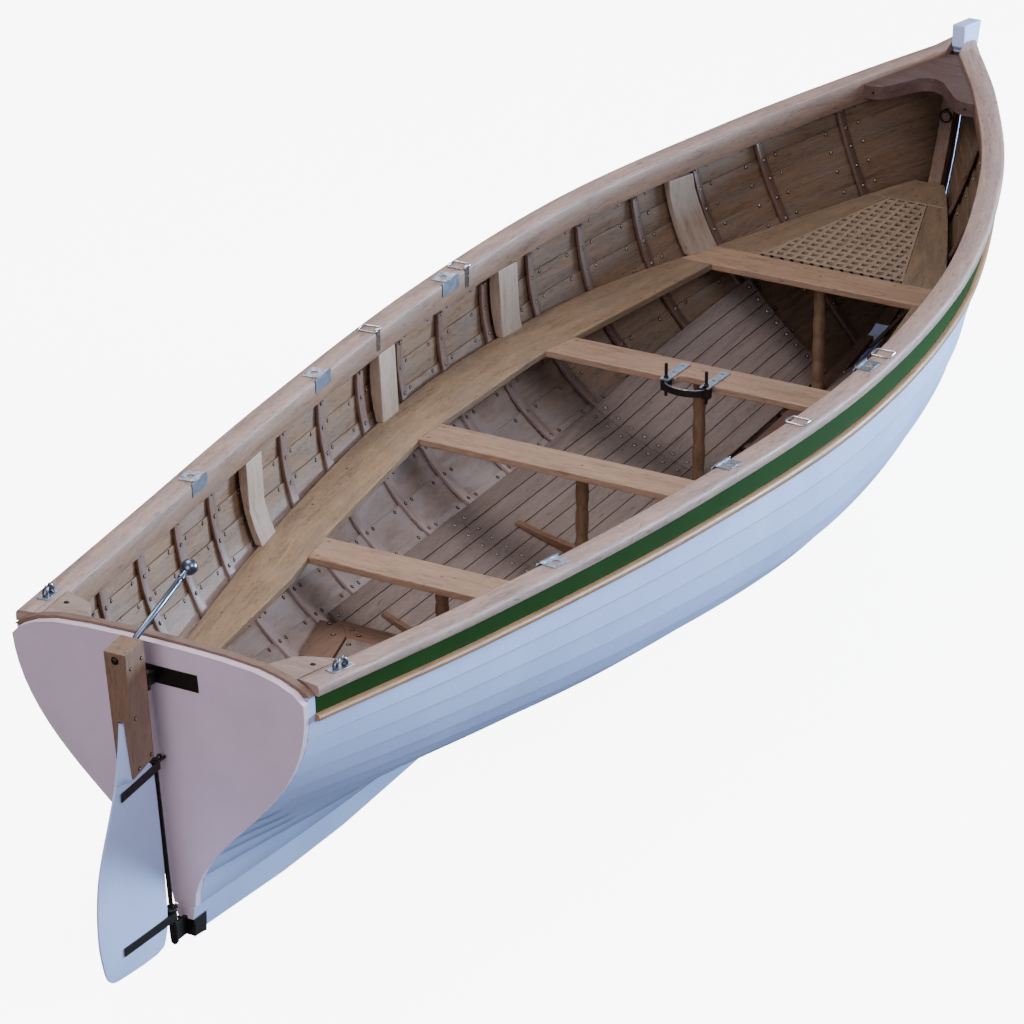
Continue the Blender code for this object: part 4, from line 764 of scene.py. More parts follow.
# Knees: oak quarter knees let in level with the rails at the transom, and a breasthook sawn from
# one crook at the bow, a little below the rails, with an ogee aft edge. All are bolted through.
knee_wood = wood("knee_wood", (0.33, 0.235, 0.195), (0.14, 0.09, 0.07), (0.24, 0.19, 0.175), run="Y",
                 roughness=0.55, pore=0.22)
# The breasthook's dark timber is deepened as painted shade, where the rail shadows it.
hook_wood_shaded = wood("breasthook_wood", (0.115, 0.066, 0.057), (0.036, 0.02, 0.017), (0.11, 0.08, 0.083),
                 run="Y", roughness=0.45)
QUARTER_KNEE = ((0.056, 0.225), (0.063, 0.234), (0.090, 0.263), (0.135, 0.287), (0.180, 0.308),
                (0.205, 0.355), (0.222, 0.400))
KNEE_THICK, KNEE_DROP = 0.030, 0.0006
BREASTHOOK_AFT = ((1.0, 4.414), (0.70, 4.420), (0.52, 4.462), (0.30, 4.505), (0.0, 4.520))
BREASTHOOK_FORWARD, BREASTHOOK_THICK, BREASTHOOK_DROP = 4.672, 0.062, 0.016


def eased_table(table, count):
    """A smooth run of places through a table's rows."""
    rows = np.array(table, float)
    found = []
    for step in np.linspace(0, len(rows) - 1, count):
        k = min(int(step), len(rows) - 2)
        found.append(faired(rows[max(0, k - 1)], rows[k], rows[k + 1],
                            rows[min(len(rows) - 1, k + 2)], step - k))
    return found


for word, side in SIDES:
    rings = []
    for along, free in eased_table(QUARTER_KNEE, 25):
        out, top = rail_inner(along)
        rings.append(box_ring(along, side * (out - SEAT_GAP), side * free, top - KNEE_DROP,
                              top - KNEE_THICK))
    make_piece(f"quarter_knee_sawn_{word}", [shell(in_boat(rings))], [knee_wood], edge=0.003,
               stands_for=[f"quarter_knee_{word}"])

hook_rings = []
half_hook = eased_table(BREASTHOOK_AFT, 21)
for across, start in half_hook + [(-share, along) for share, along in half_hook[-2::-1]]:
    upper, lower = [], []
    for along in np.linspace(start, BREASTHOOK_FORWARD, 9):
        out, high = rail_inner(along)
        reach = across * (out - SEAT_GAP)
        upper.append((along, reach, high - BREASTHOOK_DROP))
        lower.append((along, reach, high - BREASTHOOK_THICK))
    hook_rings.append(upper + lower[::-1])
make_piece("breasthook_sawn", [shell(in_boat(hook_rings))], [hook_wood_shaded], edge=0.004,
           stands_for=["breasthook"])

# Side benches and their knees: wide boards along both sides, seated on the ribs, with an upright
# board from bench to inwale at each thwart. The inner edge is rounded over.
SEAT_LINE = ((0.0, 0.455), (1.42, 0.501), (2.215, 0.532), (2.925, 0.555), (3.735, 0.590),
             (4.70, 0.660))
SEAT_THICK = 0.022
BENCH_INNER = ((0.108, 0.215), (0.74, 0.306), (1.22, 0.361), (1.51, 0.421), (2.16, 0.506),
               (2.30, 0.504), (2.86, 0.490), (3.02, 0.459), (3.676, 0.345))
THWARTS = ((1.350, 1.487), (2.150, 2.279), (2.868, 3.006), (3.676, 3.7997))
KNEE_PLACES = (1.398, 2.247, 2.942, 3.749)
KNEE_WIDTH, KNEE_LEAST, KNEE_TUCK = 0.098, 0.012, 0.002
bench_wood = wood("bench_wood", (0.40, 0.265, 0.165), (0.13, 0.08, 0.045), (0.20, 0.15, 0.115),
                  soiled=0.8, fore=0.5)
upright_wood = wood("upright_wood", (0.52, 0.39, 0.30), (0.25, 0.175, 0.13), (0.38, 0.295, 0.25),
                    fore=0.5)


def seat_height(along):
    return between(SEAT_LINE, along)


def half_breadth(along, high, depth):
    """How far out a surface inside the planking lies at a distance along and a height."""
    low, top = 0.02, 1.0
    for _ in range(12):
        middle = (low + top) / 2
        if skin_at(along, middle, depth)[2] < high:
            low = middle
        else:
            top = middle
    return skin_at(along, low, depth)[1]


def seat_outer(along, top):
    clear = RIB_INSIDE + 0.001
    return min(half_breadth(along, top, clear), half_breadth(along, top - SEAT_THICK, clear))


def board_ring(along, inner, outer, side):
    """A seat board's section, its top at the seats' height."""
    top = seat_height(along)
    return box_ring(along, side * inner, side * outer, top - SEAT_THICK, top)


def upright_knee(middle, side):
    """Rings of an upright board, its back against the ribs and its face in line with the inwale."""
    ends = (middle - KNEE_WIDTH / 2, middle + KNEE_WIDTH / 2)
    foot = seat_height(middle) - KNEE_TUCK
    head = min(rail_frame(along)[2] for along in ends) + RAIL_THICK - INWALE_DEPTH + KNEE_TUCK
    rings = []
    for step in np.linspace(0, 1, 6):
        high = foot + (head - foot) * step
        ring = []
        for along in ends:
            back = half_breadth(along, high, RIB_INSIDE + SEAT_GAP)
            face = min(rail_inner(along)[0], back - KNEE_LEAST) - (1 - step) * KNEE_LEAST
            ring.append(((along, side * face, high), (along, side * back, high)))
        rings.append([ring[0][0], ring[0][1], ring[1][1], ring[1][0]])
    return rings


BENCH_ENDS = (0.108, 3.6757)
for word, side in SIDES:
    rings = [board_ring(along, between(BENCH_INNER, along), seat_outer(along, seat_height(along)),
                        side) for along in np.linspace(*BENCH_ENDS, 46)]
    make_piece(f"bench_board_{word}", [shell(in_boat(rings), lead=side * 1.9)], [bench_wood],
               edge=0.003, stands_for=[f"side_bench_{word}"])
    make_piece(f"upright_knees_{word}",
               [shell(in_boat(upright_knee(middle, side)), lead=0.8 * k)
                for k, middle in enumerate(KNEE_PLACES)],
               [upright_wood], edge=0.002)

# Thwarts: three boards between the benches, each on a turned pillar, the third notched for the
# mast. Their edges are rounded over, and a clench bolt stands over each pillar.
MAST_NOTCH, NOTCH_DEEP = 0.045, 0.72
thwart_wood = wood("thwart_wood", (0.43, 0.275, 0.185), (0.17, 0.098, 0.062), (0.32, 0.23, 0.19),
                   run="Y", pore=0.22, fore=0.72)


def thwart_level(number):
    return seat_height(sum(THWARTS[number - 1]) / 2)


for number, (aft, fore) in enumerate(THWARTS[:3], start=1):
    top = thwart_level(number)
    ends = [(between(BENCH_INNER, along) - SEAT_GAP, along) for along in (aft, fore)]
    outline = [(ends[0][1], -ends[0][0]), (ends[1][1], -ends[1][0]), (ends[1][1], ends[1][0]),
               (ends[0][1], ends[0][0])]
    if number == 3:
        outline += [(aft + MAST_NOTCH * NOTCH_DEEP * math.sin(turn) ** 0.45,
                     MAST_NOTCH * math.copysign(abs(math.cos(turn)) ** 0.55, math.cos(turn)))
                    for turn in np.linspace(0, math.pi, 33)]
    rings = [[(along, out, level) for along, out in outline] for level in (top - SEAT_THICK, top)]
    make_piece(f"thwart_board_{number}", [shell(in_boat(rings))], [thwart_wood], edge=0.003,
               stands_for=[f"thwart_{number}"])

PILLAR_RADIUS = 0.0195
PILLAR_SHAPE = ((0.0, 1.0), (0.05, 1.0), (0.07, 0.84), (0.18, 1.0), (0.28, 0.84), (0.39, 1.0),
                (0.50, 0.84), (0.61, 1.0), (0.72, 0.84), (0.82, 1.0), (0.93, 0.84), (0.95, 1.0),
                (1.0, 1.0))
BEARER_TOP = 0.285
pillar_wood = wood("pillar_wood", (0.23, 0.135, 0.075), (0.09, 0.05, 0.026), (0.15, 0.095, 0.062),
                   run="Z")


def lathe(line, radii, sides=24, lead=0.0):
    """A turned piece: rings of the given radii square to the line at each of its points."""
    line = [Vector(point) for point in line]
    rings = []
    for number, (point, radius) in enumerate(zip(line, radii)):
        radius = float(radius)
        run = (line[min(len(line) - 1, number + 1)] - line[max(0, number - 1)]).normalized()
        across = run.cross(Vector((0, 1, 0)) if abs(run.y) < 0.9 else Vector((1, 0, 0))).normalized()
        other = run.cross(across)
        rings.append([point + radius * (math.cos(turn) * across + math.sin(turn) * other)
                      for turn in np.linspace(0, 2 * math.pi, sides, endpoint=False)])
    return shell(rings, lead=lead)


PILLAR_STEPS = np.linspace(0, 1, 61)
pillar_wide = [row[1] for row in PILLAR_SHAPE]
pillar_swell = np.interp(PILLAR_STEPS, [row[0] for row in PILLAR_SHAPE], pillar_wide)
pillar_swell = 1 - (1 - pillar_swell) ** 2 / (1 - min(pillar_wide))
for number, ends in enumerate(THWARTS, start=1):
    along = sum(ends) / 2
    keelson_top = max(between(KEEL_TOP, along + step) for step in (-PILLAR_RADIUS, PILLAR_RADIUS))
    foot = BEARER_TOP if number == 1 else keelson_top + KEELSON_RISE
    head = thwart_level(number) - SEAT_THICK
    line = in_boat([(along, 0, foot + (head - foot) * step) for step in PILLAR_STEPS])
    make_piece(f"turned_pillar_{number}", [lathe(line, PILLAR_RADIUS * pillar_swell)],
               [pillar_wood], stands_for=[f"thwart_pillar_{number}"], crease=50)

# Bow seat: a cross board on its own knees, side boards and a forward board, and between them a
# tapering grating of halved laths that lifts out, its holes square.
HATCH, HATCH_CLEAR = ((3.814, 0.245), (4.360, 0.068)), 0.0004
BOW_SIDE_ENDS, BOW_SEAT_ENDS = (3.8012, 4.3590), (4.3605, 4.52)
cross_wood = wood("cross_board_wood", (0.32, 0.20, 0.13), (0.14, 0.08, 0.048), (0.23, 0.155, 0.12),
                  run="Y")
aft, fore = THWARTS[3]
rings = []
for along in (aft, (aft + fore) / 2, fore):
    out = seat_outer(along, seat_height(along))
    rings.append(board_ring(along, -out, out, 1))
make_piece("bow_cross_board", [shell(in_boat(rings))], [cross_wood], edge=0.003,
           stands_for=["bow_thwart"])

bow_boards = []
for side in (1, -1):
    rings = []
    for along in np.linspace(*BOW_SIDE_ENDS, 8):
        rings.append(board_ring(along, between(HATCH, along) + HATCH_CLEAR,
                                seat_outer(along, seat_height(along)), side))
    bow_boards.append(shell(in_boat(rings), lead=side * 0.7))
rings = []
for along in np.linspace(*BOW_SEAT_ENDS, 5):
    out = seat_outer(along, seat_height(along))
    rings.append(board_ring(along, -out, out, 1))
bow_boards.append(shell(in_boat(rings), lead=4.0))
make_piece("bow_seat_boards", bow_boards, [bench_wood], edge=0.002,
           stands_for=["bow_seat"])

GRATE_PITCH, LATH, EDGE_LATH = 0.0345, 0.0138, 0.009
grate_wood = wood("grate_wood", (0.26, 0.19, 0.135), (0.12, 0.08, 0.055), (0.19, 0.14, 0.11),
                  run="X", roughness=0.55)
laths = []
(hatch_aft, half_aft), (hatch_fore, half_fore) = HATCH
clear, slant_clear = 0.0007, 1.3 * 0.0007
taper = (half_aft - half_fore) / (hatch_fore - hatch_aft)


def half_at(along):
    return half_aft - (along - hatch_aft) * taper - slant_clear


def lath_box(corners, drop):
    """A lath from its four corners in plan, its top lying on the seat's slope less a drop."""
    rings = [[(along, out, seat_height(along) - low) for along, out in corners]
             for low in (SEAT_THICK - drop, drop)]
    return shell(in_boat(rings), lead=corners[0][1] * 7 + corners[0][0] * 3)


for number in range(-7, 8):
    middle = number * GRATE_PITCH
    edges = (middle - LATH / 2, middle + LATH / 2)
    reach = [min(hatch_fore - clear, hatch_aft + (half_aft - abs(out) - slant_clear) / taper)
             for out in edges]
    if min(reach) < hatch_aft + 0.02:
        continue
    laths.append(lath_box([(hatch_aft + clear, edges[0]), (reach[0], edges[0]),
                           (reach[1], edges[1]), (hatch_aft + clear, edges[1])], 0.0))
crossing = hatch_aft + clear
while crossing < hatch_fore - clear:
    end = min(crossing + LATH, hatch_fore - clear)
    laths.append(lath_box([(crossing, -half_at(crossing)), (end, -half_at(end)),
                           (end, half_at(end)), (crossing, half_at(crossing))], 0.0005))
    crossing += GRATE_PITCH
for side in (1, -1):
    a, b = hatch_aft + clear, hatch_fore - clear
    laths.append(lath_box([(a, side * (half_at(a) - EDGE_LATH)),
                           (b, side * (half_at(b) - EDGE_LATH)),
                           (b, side * half_at(b)), (a, side * half_at(a))], 0.0003))
make_piece("bow_grate", laths, [grate_wood], edge=0.0008, rounds=1,
           stands_for=["bow_grating"])

# Floor: grey-brown boards laid along the boat on the ribs, edge to edge with open seams, butted at
# two places and held by nails. Dark tapered foot stretchers lie across them. Further aft, a short
# sole of boards lies on two bearers, with a chock at each side.
FLOOR_THICK, FLOOR_DEPTH = 0.011, RIB_INSIDE + 0.0008
FLOOR_TOP = FLOOR_DEPTH + FLOOR_THICK
FLOOR_ENDS = (1.45, 3.85)
FLOOR_BUTTS = (2.25, 3.075)
FLOOR_OUTER = ((1.44, 0.41), (3.10, 0.415), (3.86, 0.48))
BOARDS, BOARD_SEAM, BUTT_SEAM = 8, 0.0022, 0.0016
floor_wood = wood("floor_wood", (0.255, 0.192, 0.17), (0.115, 0.082, 0.07), (0.185, 0.15, 0.145),
                  roughness=0.55, fore=0.72)


def floor_inner_share(along, depth):
    share = 0.03
    while skin_at(along, share, depth)[1] < between(KEELSON_HALF, along) + 0.002:
        share += 0.004
    return share


breaks = (FLOOR_ENDS[0], *FLOOR_BUTTS, FLOOR_ENDS[1])
fine_floor = np.linspace(*FLOOR_ENDS, 37)
inner_shares = [floor_inner_share(along, FLOOR_TOP) for along in fine_floor]


def floor_share(along, part):
    inner = float(np.interp(along, fine_floor, inner_shares))
    return inner * (1 - part) + between(FLOOR_OUTER, along) * part


def floor_point(along, part, depth, side, shift=0.0):
    """A place on the floor; a shift moves it up the slope."""
    share = floor_share(along, part) + shift / NOMINAL_GIRTH
    return skin_at(along, share, depth, side)


for word, side in SIDES:
    boards = []
    for start, end in zip(breaks[:-1], breaks[1:]):
        for number in range(BOARDS):
            low, high = number / BOARDS, (number + 1) / BOARDS
            corners = ((low, FLOOR_DEPTH, 1), (high, FLOOR_DEPTH, -1), (high, FLOOR_TOP, -1),
                       (low, FLOOR_TOP, 1))
            rings = [[floor_point(along, part, depth, side, way * BOARD_SEAM / 2)
                      for part, depth, way in corners]
                     for along in np.linspace(start + BUTT_SEAM / 2, end - BUTT_SEAM / 2, 12)]
            boards.append(shell(in_boat(rings), lead=number * 1.3 + start * 2.9 + side))
    make_piece(f"floor_planks_{word}", boards, [floor_wood], edge=0.0012, rounds=1,
               stands_for=[f"floorboards_{word}"])

stretcher_wood = wood("stretcher_wood", (0.20, 0.105, 0.06), (0.08, 0.04, 0.025),
                      (0.12, 0.07, 0.05), run="Y", roughness=0.42)
for name in [name for name in nodes if name.startswith("foot_stretcher")]:
    dress(name, stretcher_wood, 0.002)
bearer_wood = wood("bearer_wood", (0.30, 0.165, 0.10), (0.13, 0.065, 0.04), (0.20, 0.12, 0.08),
                   run="Y")
BEARER_DEEP, SOLE_BEARER_DROP = 0.020, 0.013
for name, aft, fore, drop, replaced in (("aft_bearer", 1.345, 1.4335, 0, ["floor_bearer"]),
                                        ("sole_bearer", 1.105, 1.150, SOLE_BEARER_DROP, [])):
    low = BEARER_TOP - BEARER_DEEP - drop
    reach = min(half_breadth(along, low, RIB_INSIDE + SEAT_GAP) for along in (aft, fore))
    rings = [[(along, out, high) for along, high in
              ((aft, low), (fore, low), (fore, low + BEARER_DEEP), (aft, low + BEARER_DEEP))]
             for out in (-reach, reach)]
    make_piece(name, [shell(in_boat(rings))], [bearer_wood], edge=0.003,
               stands_for=replaced)
SOLE_HALF = ((1.105, 0.217), (1.190, 0.217), (1.344, 0.263))
SOLE_BOARDS, SOLE_THICK = 5, 0.012
sole = []
for number in range(SOLE_BOARDS):
    rings = []
    for along, half in SOLE_HALF:
        edges = [SOLE_HALF[0][1] * (2 * k / SOLE_BOARDS - 1) for k in (number, number + 1)]
        low = -half if number == 0 else edges[0]
        high = half if number == SOLE_BOARDS - 1 else edges[1]
        rings.append(box_ring(along, low + BOARD_SEAM / 2, high - BOARD_SEAM / 2,
                              BEARER_TOP - SOLE_THICK, BEARER_TOP))
    sole.append(shell(in_boat(rings), lead=number * 2.1))
make_piece("aft_sole", sole, [floor_wood], edge=0.0012, rounds=1)
chock_wood = wood("chock_wood", (0.25, 0.15, 0.105), (0.10, 0.05, 0.033), (0.19, 0.125, 0.095),
                  run="X", roughness=0.45)
CHOCK = ((1.190, 0.222), (1.182, 0.318), (1.402, 0.384), (1.407, 0.312), (1.350, 0.268))
CHOCK_RISE, CHOCK_THICK = 0.004, 0.013
for word, side in SIDES:
    rings = [[(along, side * out, BEARER_TOP + CHOCK_RISE - drop) for along, out in CHOCK]
             for drop in (CHOCK_THICK, 0)]
    make_piece(f"aft_chock_{word}", [shell(in_boat(rings), lead=side)], [chock_wood], edge=0.002)

# Fastenings: copper nails clenched over roves at each lap, beside the ribs and through them, in
# rows at the floor's butts, and heavier bolts in the thwarts, knees and seats.
SUNK = 0.0003


def fastening_tree():
    """Sets a rove and a clenched nail end on every point, standing along its facing."""
    tree, given = shape_tree("clenched_nail", (
        ("Spots", "Geometry"), ("Rove Radius", "Float"), ("Rove Height", "Float"),
        ("Nail Radius", "Float"), ("Nail Height", "Float"), ("Rove Finish", "Material"),
        ("Nail Finish", "Material")), "Fastenings")
    facing = add_node(tree, "GeometryNodeInputNamedAttribute", {"Name": "facing"},
                      data_type="FLOAT_VECTOR").outputs["Attribute"]
    turned = add_node(tree, "FunctionNodeAlignRotationToVector", {"Vector": facing},
                      axis="Z").outputs[0]
    layers = []
    for part, sides, narrow in (("Rove", 12, 0.72), ("Nail", 8, 0.62)):
        crown = joined_by(tree, "MULTIPLY", given[f"{part} Radius"], narrow)
        cone = add_node(tree, "GeometryNodeMeshCone",
                        {"Vertices": sides, "Radius Top": crown,
                         "Radius Bottom": given[f"{part} Radius"],
                         "Depth": given[f"{part} Height"]}).outputs[0]
        layers.append(add_node(tree, "GeometryNodeSetMaterial",
                               {"Geometry": cone, "Material": given[f"{part} Finish"]}).outputs[0])
    hollow = joined_by(tree, "MULTIPLY", given["Nail Radius"], 0.50)
    proud = joined_by(tree, "ADD", given["Nail Height"], SUNK)
    core = add_node(tree, "GeometryNodeMeshCone", {"Vertices": 8, "Radius Top": hollow,
                                                   "Radius Bottom": hollow, "Depth": proud}).outputs[0]
    layers.append(add_node(tree, "GeometryNodeSetMaterial",
                           {"Geometry": core, "Material": given["Rove Finish"]}).outputs[0])
    joined = add_node(tree, "GeometryNodeJoinGeometry")
    for layer in layers:
        tree.links.new(layer, joined.inputs[0])
    set_out = add_node(tree, "GeometryNodeInstanceOnPoints",
                       {"Points": given["Spots"], "Instance": joined.outputs[0],
                        "Rotation": turned}).outputs[0]
    real = add_node(tree, "GeometryNodeRealizeInstances", {0: set_out}).outputs[0]
    add_node(tree, "NodeGroupOutput", {0: real})
    return tree


def metal(name, colour, roughness, dull=0.12, scale=60.0):
    """Worked metal: tarnish in clouds and fine scratches in its gloss."""
    material, tree, shader = new_finish(name)
    shader.inputs["Metallic"].default_value = 1.0
    spot = add_node(tree, "ShaderNodeTexCoord").outputs["Object"]
    cloud = noise(tree, spot, scale, 5.0, 0.65)
    ramp = two_tone(tree, cloud, [part * (1 - dull * 3) for part in colour], colour)
    gloss = spread(tree, cloud, 0.3, 0.7, roughness + dull, roughness - dull / 2)
    give_surface(tree, shader, ramp.outputs["Color"], gloss, cloud, 0.12, 0.0005)
    return material


clenched_nail = fastening_tree()
rove_metal = metal("dark_rove", (0.045, 0.036, 0.034), 0.40)
# Nail ends are a pale non-metal paint: worn metal, made pale as a painted highlight that shows in
# shade.
nail_end_highlight = painted("worn_nail_end_highlight", (0.62, 0.56, 0.53), 0.35)
NAIL_BESIDE, BUTT_NAIL, END_NAIL = 0.055, 0.030, 0.02
FIRST_NAILED_LAP, FIRST_BOW_LAP = 2, 6


class Fastenings:
    """Spots where fastenings of one size go, with the way each faces."""

    def __init__(self):
        self.spots, self.facings = [], []

    def add(self, spot, facing):
        self.spots.append(tuple(in_boat([spot])[0]))
        self.facings.append(tuple(facing))

    def set_out(self, name, rove, nail, body="hull", rove_finish=None, nail_finish=None):
        """Rove and nail are each a radius and a height."""
        inputs = {"Rove Radius": rove[0], "Rove Height": rove[1], "Nail Radius": nail[0],
                  "Nail Height": nail[1], "Rove Finish": rove_finish or rove_metal,
                  "Nail Finish": nail_finish or nail_end_highlight}
        return grown(name, self.spots, clenched_nail, inputs, body=body,
                     attributes={"facing": ("FLOAT_VECTOR", self.facings)})


def nail_on_skin(group, along, share, depth, side):
    place = place_at(along, share, depth)
    inward = blend_grid(INWARD, place, share) * (1, side, 1)
    group.add(skin(place, share, depth - SUNK, side), inward)


plank_nails = Fastenings()
for along in (*RIB_PLACES, BOW_RIB):
    for k in range(FIRST_NAILED_LAP if along < BOW_RIB else FIRST_BOW_LAP, STRAKES + 1):
        share = STRAKE_EDGES[k] + LAP_SHARE * 0.45
        for side in (1, -1):
            if share < RIB_HEAD_SHARE:
                nail_on_skin(plank_nails, along, share, RIB_INSIDE, side)
                for step in (-NAIL_BESIDE, NAIL_BESIDE):
                    nail_on_skin(plank_nails, along + step, share, PLANK_INSIDE, side)
plank_nails.set_out("lap_nails", (0.0068, 0.0018), (0.0047, 0.0028))

floor_nails = Fastenings()
for number in range(BOARDS):
    part = (number + 0.5) / BOARDS
    for side in (1, -1):
        for row in (FLOOR_ENDS[0] + END_NAIL, FLOOR_ENDS[1] - END_NAIL,
                    *(butt + step for butt in FLOOR_BUTTS for step in (-BUTT_NAIL, BUTT_NAIL))):
            nail_on_skin(floor_nails, row, floor_share(row, part), FLOOR_TOP, side)
# The floor's nail ends are near white, a painted highlight in the floor's shade.
floor_nails.set_out("floor_nails", (0.0086, 0.0012), (0.0058, 0.0022),
                    nail_finish=painted("trodden_nail_end_highlight", (0.92, 0.84, 0.80), 0.35))

UP = (0, 0, 1)
THWART_NAIL, BENCH_NAIL, KNEE_CLEAR, PAST_NOTCH = 0.022, 0.045, 0.07, 0.02
BENCH_RIBS = RIB_PLACES[:14]
seat_nails = Fastenings()
for number, (aft, fore) in enumerate(THWARTS[:3], start=1):
    top = thwart_level(number) - SUNK
    seat_nails.add(((aft + fore) / 2 + (PAST_NOTCH if number == 3 else 0), 0, top), UP)
    for along in (aft + THWART_NAIL, fore - THWART_NAIL):
        for side in (1, -1):
            seat_nails.add((along, side * (between(BENCH_INNER, along) - THWART_NAIL), top), UP)
seat_nails.add((sum(THWARTS[3]) / 2, 0, seat_height(3.738) - SUNK), UP)
for along in BENCH_RIBS:
    if min(abs(along - middle) for middle in KNEE_PLACES) < KNEE_CLEAR:
        continue
    top = seat_height(along)
    for side in (1, -1):
        seat_nails.add((along, side * (seat_outer(along, top) - BENCH_NAIL), top - SUNK), UP)
for along, out in ((3.70, 0.235), (3.775, 0.235), (3.83, 0.262), (4.33, 0.095), (4.385, 0.085),
                   (4.385, 0.03), (4.50, 0.03), (3.775, 0.07)):
    for side in (1, -1):
        seat_nails.add((along, side * out, seat_height(along) - SUNK), UP)
seat_nails.set_out("seat_nails", (0.0048, 0.0010), (0.0030, 0.0016))

CHOCK_BOLTS = ((1.391, 0.346), (1.337, 0.302))
SOLE_BOLTS = ((1.394, 0.275), (1.371, 0.240), (1.376, 0.120), (1.310, 0.236))
bearer_bolts = Fastenings()
for places, rise in ((CHOCK_BOLTS, CHOCK_RISE), (SOLE_BOLTS, 0)):
    for along, out in places:
        for side in (1, -1):
            bearer_bolts.add((along, side * out, BEARER_TOP + rise - SUNK), UP)
bearer_bolts.set_out("bearer_bolts", (0.0085, 0.0022), (0.0055, 0.0032))
KNEE_BOLTS, KNEE_BOLT_SINK = ((0.157, 0.368), (0.080, 0.300)), 0.0008
HOOK_FACE, HOOK_BOLT, HOOK_BOLT_SHARE, HOOK_BOLT_DROP = 4.4165, 4.4171, 0.84, 0.040
knee_bolts = Fastenings()
for side in (1, -1):
    for along, out in KNEE_BOLTS:
        knee_bolts.add((along, side * out, rail_inner(along)[1] - KNEE_BOLT_SINK), UP)
    out, high = rail_inner(HOOK_FACE)
    knee_bolts.add((HOOK_BOLT, side * HOOK_BOLT_SHARE * out, high - HOOK_BOLT_DROP), (-1, 0, 0))
knee_bolts.set_out("knee_bolts", (0.0080, 0.0024), (0.0050, 0.0034), nail_finish=rove_metal)

# Rail fittings: galvanised rowlock plates bent over the rail's inner edge with a socket hole,
# square wire lashing loops on their straps, and bright two-horned fairleads on the quarters.
bright_steel = metal("bright_steel", (0.62, 0.66, 0.72), 0.22, dull=0.10)
plate_steel = metal("plate_steel", (0.46, 0.53, 0.66), 0.34, dull=0.16)
strap_steel = metal("strap_steel", (0.56, 0.66, 0.86), 0.42, dull=0.12)
dark_steel = metal("dark_steel", (0.22, 0.25, 0.30), 0.26, dull=0.14)
ROWLOCK_PLACES = (1.037, 1.835, 2.626)
TAB_REACH, TAB_HALF, FLANGE_DOWN, FLANGE_HALF, PLATE_THICK = 0.048, 0.034, 0.040, 0.048, 0.003
SOCKET_RADIUS, SOCKET_AT = 0.011, 0.026


def rail_spot(along, side, offset, rise):
    """A place from the rail's inner edge outboard and from its top up."""
    return beside_rail(along, side, RAIL_INNER + offset, RAIL_THICK + rise)


def rail_bar(along, side, low, high, half):
    """A box on the rail between two corners given as (offset, rise)."""
    corners = ((low[0], low[1]), (high[0], low[1]), (high[0], high[1]), (low[0], high[1]))
    return shell(in_boat([[rail_spot(place, side, offset, rise) for offset, rise in corners]
                          for place in (along - half, along + half)]))


def bored_tab(along, side):
    """A tab's top and underside as a ring of faces round its socket hole."""
    turns = np.linspace(0, 2 * math.pi, 32, endpoint=False)
    rings = []
    for rise in (PLATE_THICK, SEAT_GAP):
        outer, inner = [], []
        for turn in turns:
            ahead, across = math.cos(turn), math.sin(turn)
            reach = min(TAB_HALF / max(abs(ahead), 1e-6), (TAB_REACH / 2) / max(abs(across), 1e-6))
            outer.append(rail_spot(along + ahead * reach, side, TAB_REACH / 2 + across * reach, rise))
            inner.append(rail_spot(along + ahead * SOCKET_RADIUS, side,
                                   SOCKET_AT + across * SOCKET_RADIUS, rise))
        rings += [outer, inner] if rise == PLATE_THICK else [inner, outer]
    rings.append(rings[0])
    return shell(in_boat(rings), capped=False)


for word, side in SIDES:
    for number, along in enumerate(ROWLOCK_PLACES, start=1):
        parts = [bored_tab(along, side),
                 rail_bar(along, side, (-PLATE_THICK, -FLANGE_DOWN), (-SEAT_GAP, PLATE_THICK),
                          FLANGE_HALF),
                 rail_bar(along, side, (-PLATE_THICK, PLATE_THICK - 0.0005), (0.0045, 0.0052),
                          TAB_HALF),
                 rail_bar(along, side, (TAB_REACH - 0.005, PLATE_THICK - 0.0005),
                          (TAB_REACH, 0.0050), TAB_HALF * 0.55)]
        make_piece(f"rowlock_plate_bent_{word}_{number}", parts, [plate_steel], edge=0.0006,
                   rounds=1, stands_for=[f"rowlock_plate_{word}_{number}"])

LOOP_PLACES = (2.189, 2.719)
LOOP_HALF, LOOP_REACH, LOOP_WIRE, LOOP_CORNER = 0.022, 0.060, 0.0055, 0.004
for word, side in SIDES:
    for number, along in enumerate(LOOP_PLACES, start=1):
        wire = LOOP_WIRE / 2
        corners = [(-LOOP_HALF, wire - 0.0025), (LOOP_HALF, wire - 0.0025),
                   (LOOP_HALF, LOOP_REACH - wire), (-LOOP_HALF, LOOP_REACH - wire)]
        path = []
        for k, (step, offset) in enumerate(corners):
            for ahead, out in (corners[k - 1], corners[(k + 1) % 4]):
                share = LOOP_CORNER / math.hypot(ahead - step, out - offset)
                path.append((step + (ahead - step) * share, offset + (out - offset) * share))
        path.append(path[0])
        line = in_boat([rail_spot(along + step, side, offset, wire + 0.0006)
                        for step, offset in path])
        parts = [lathe(line, [wire] * len(path), sides=10),
                 rail_bar(along, side, (-0.003, -0.060), (-SEAT_GAP, 0.0035), 0.009),
                 rail_bar(along, side, (-0.003, 0.0035), (0.006, 0.0062), 0.009)]
        make_piece(f"wire_loop_{word}_{number}", parts, [bright_steel],
                   stands_for=[f"lashing_loop_{word}_{number}"], crease=50)

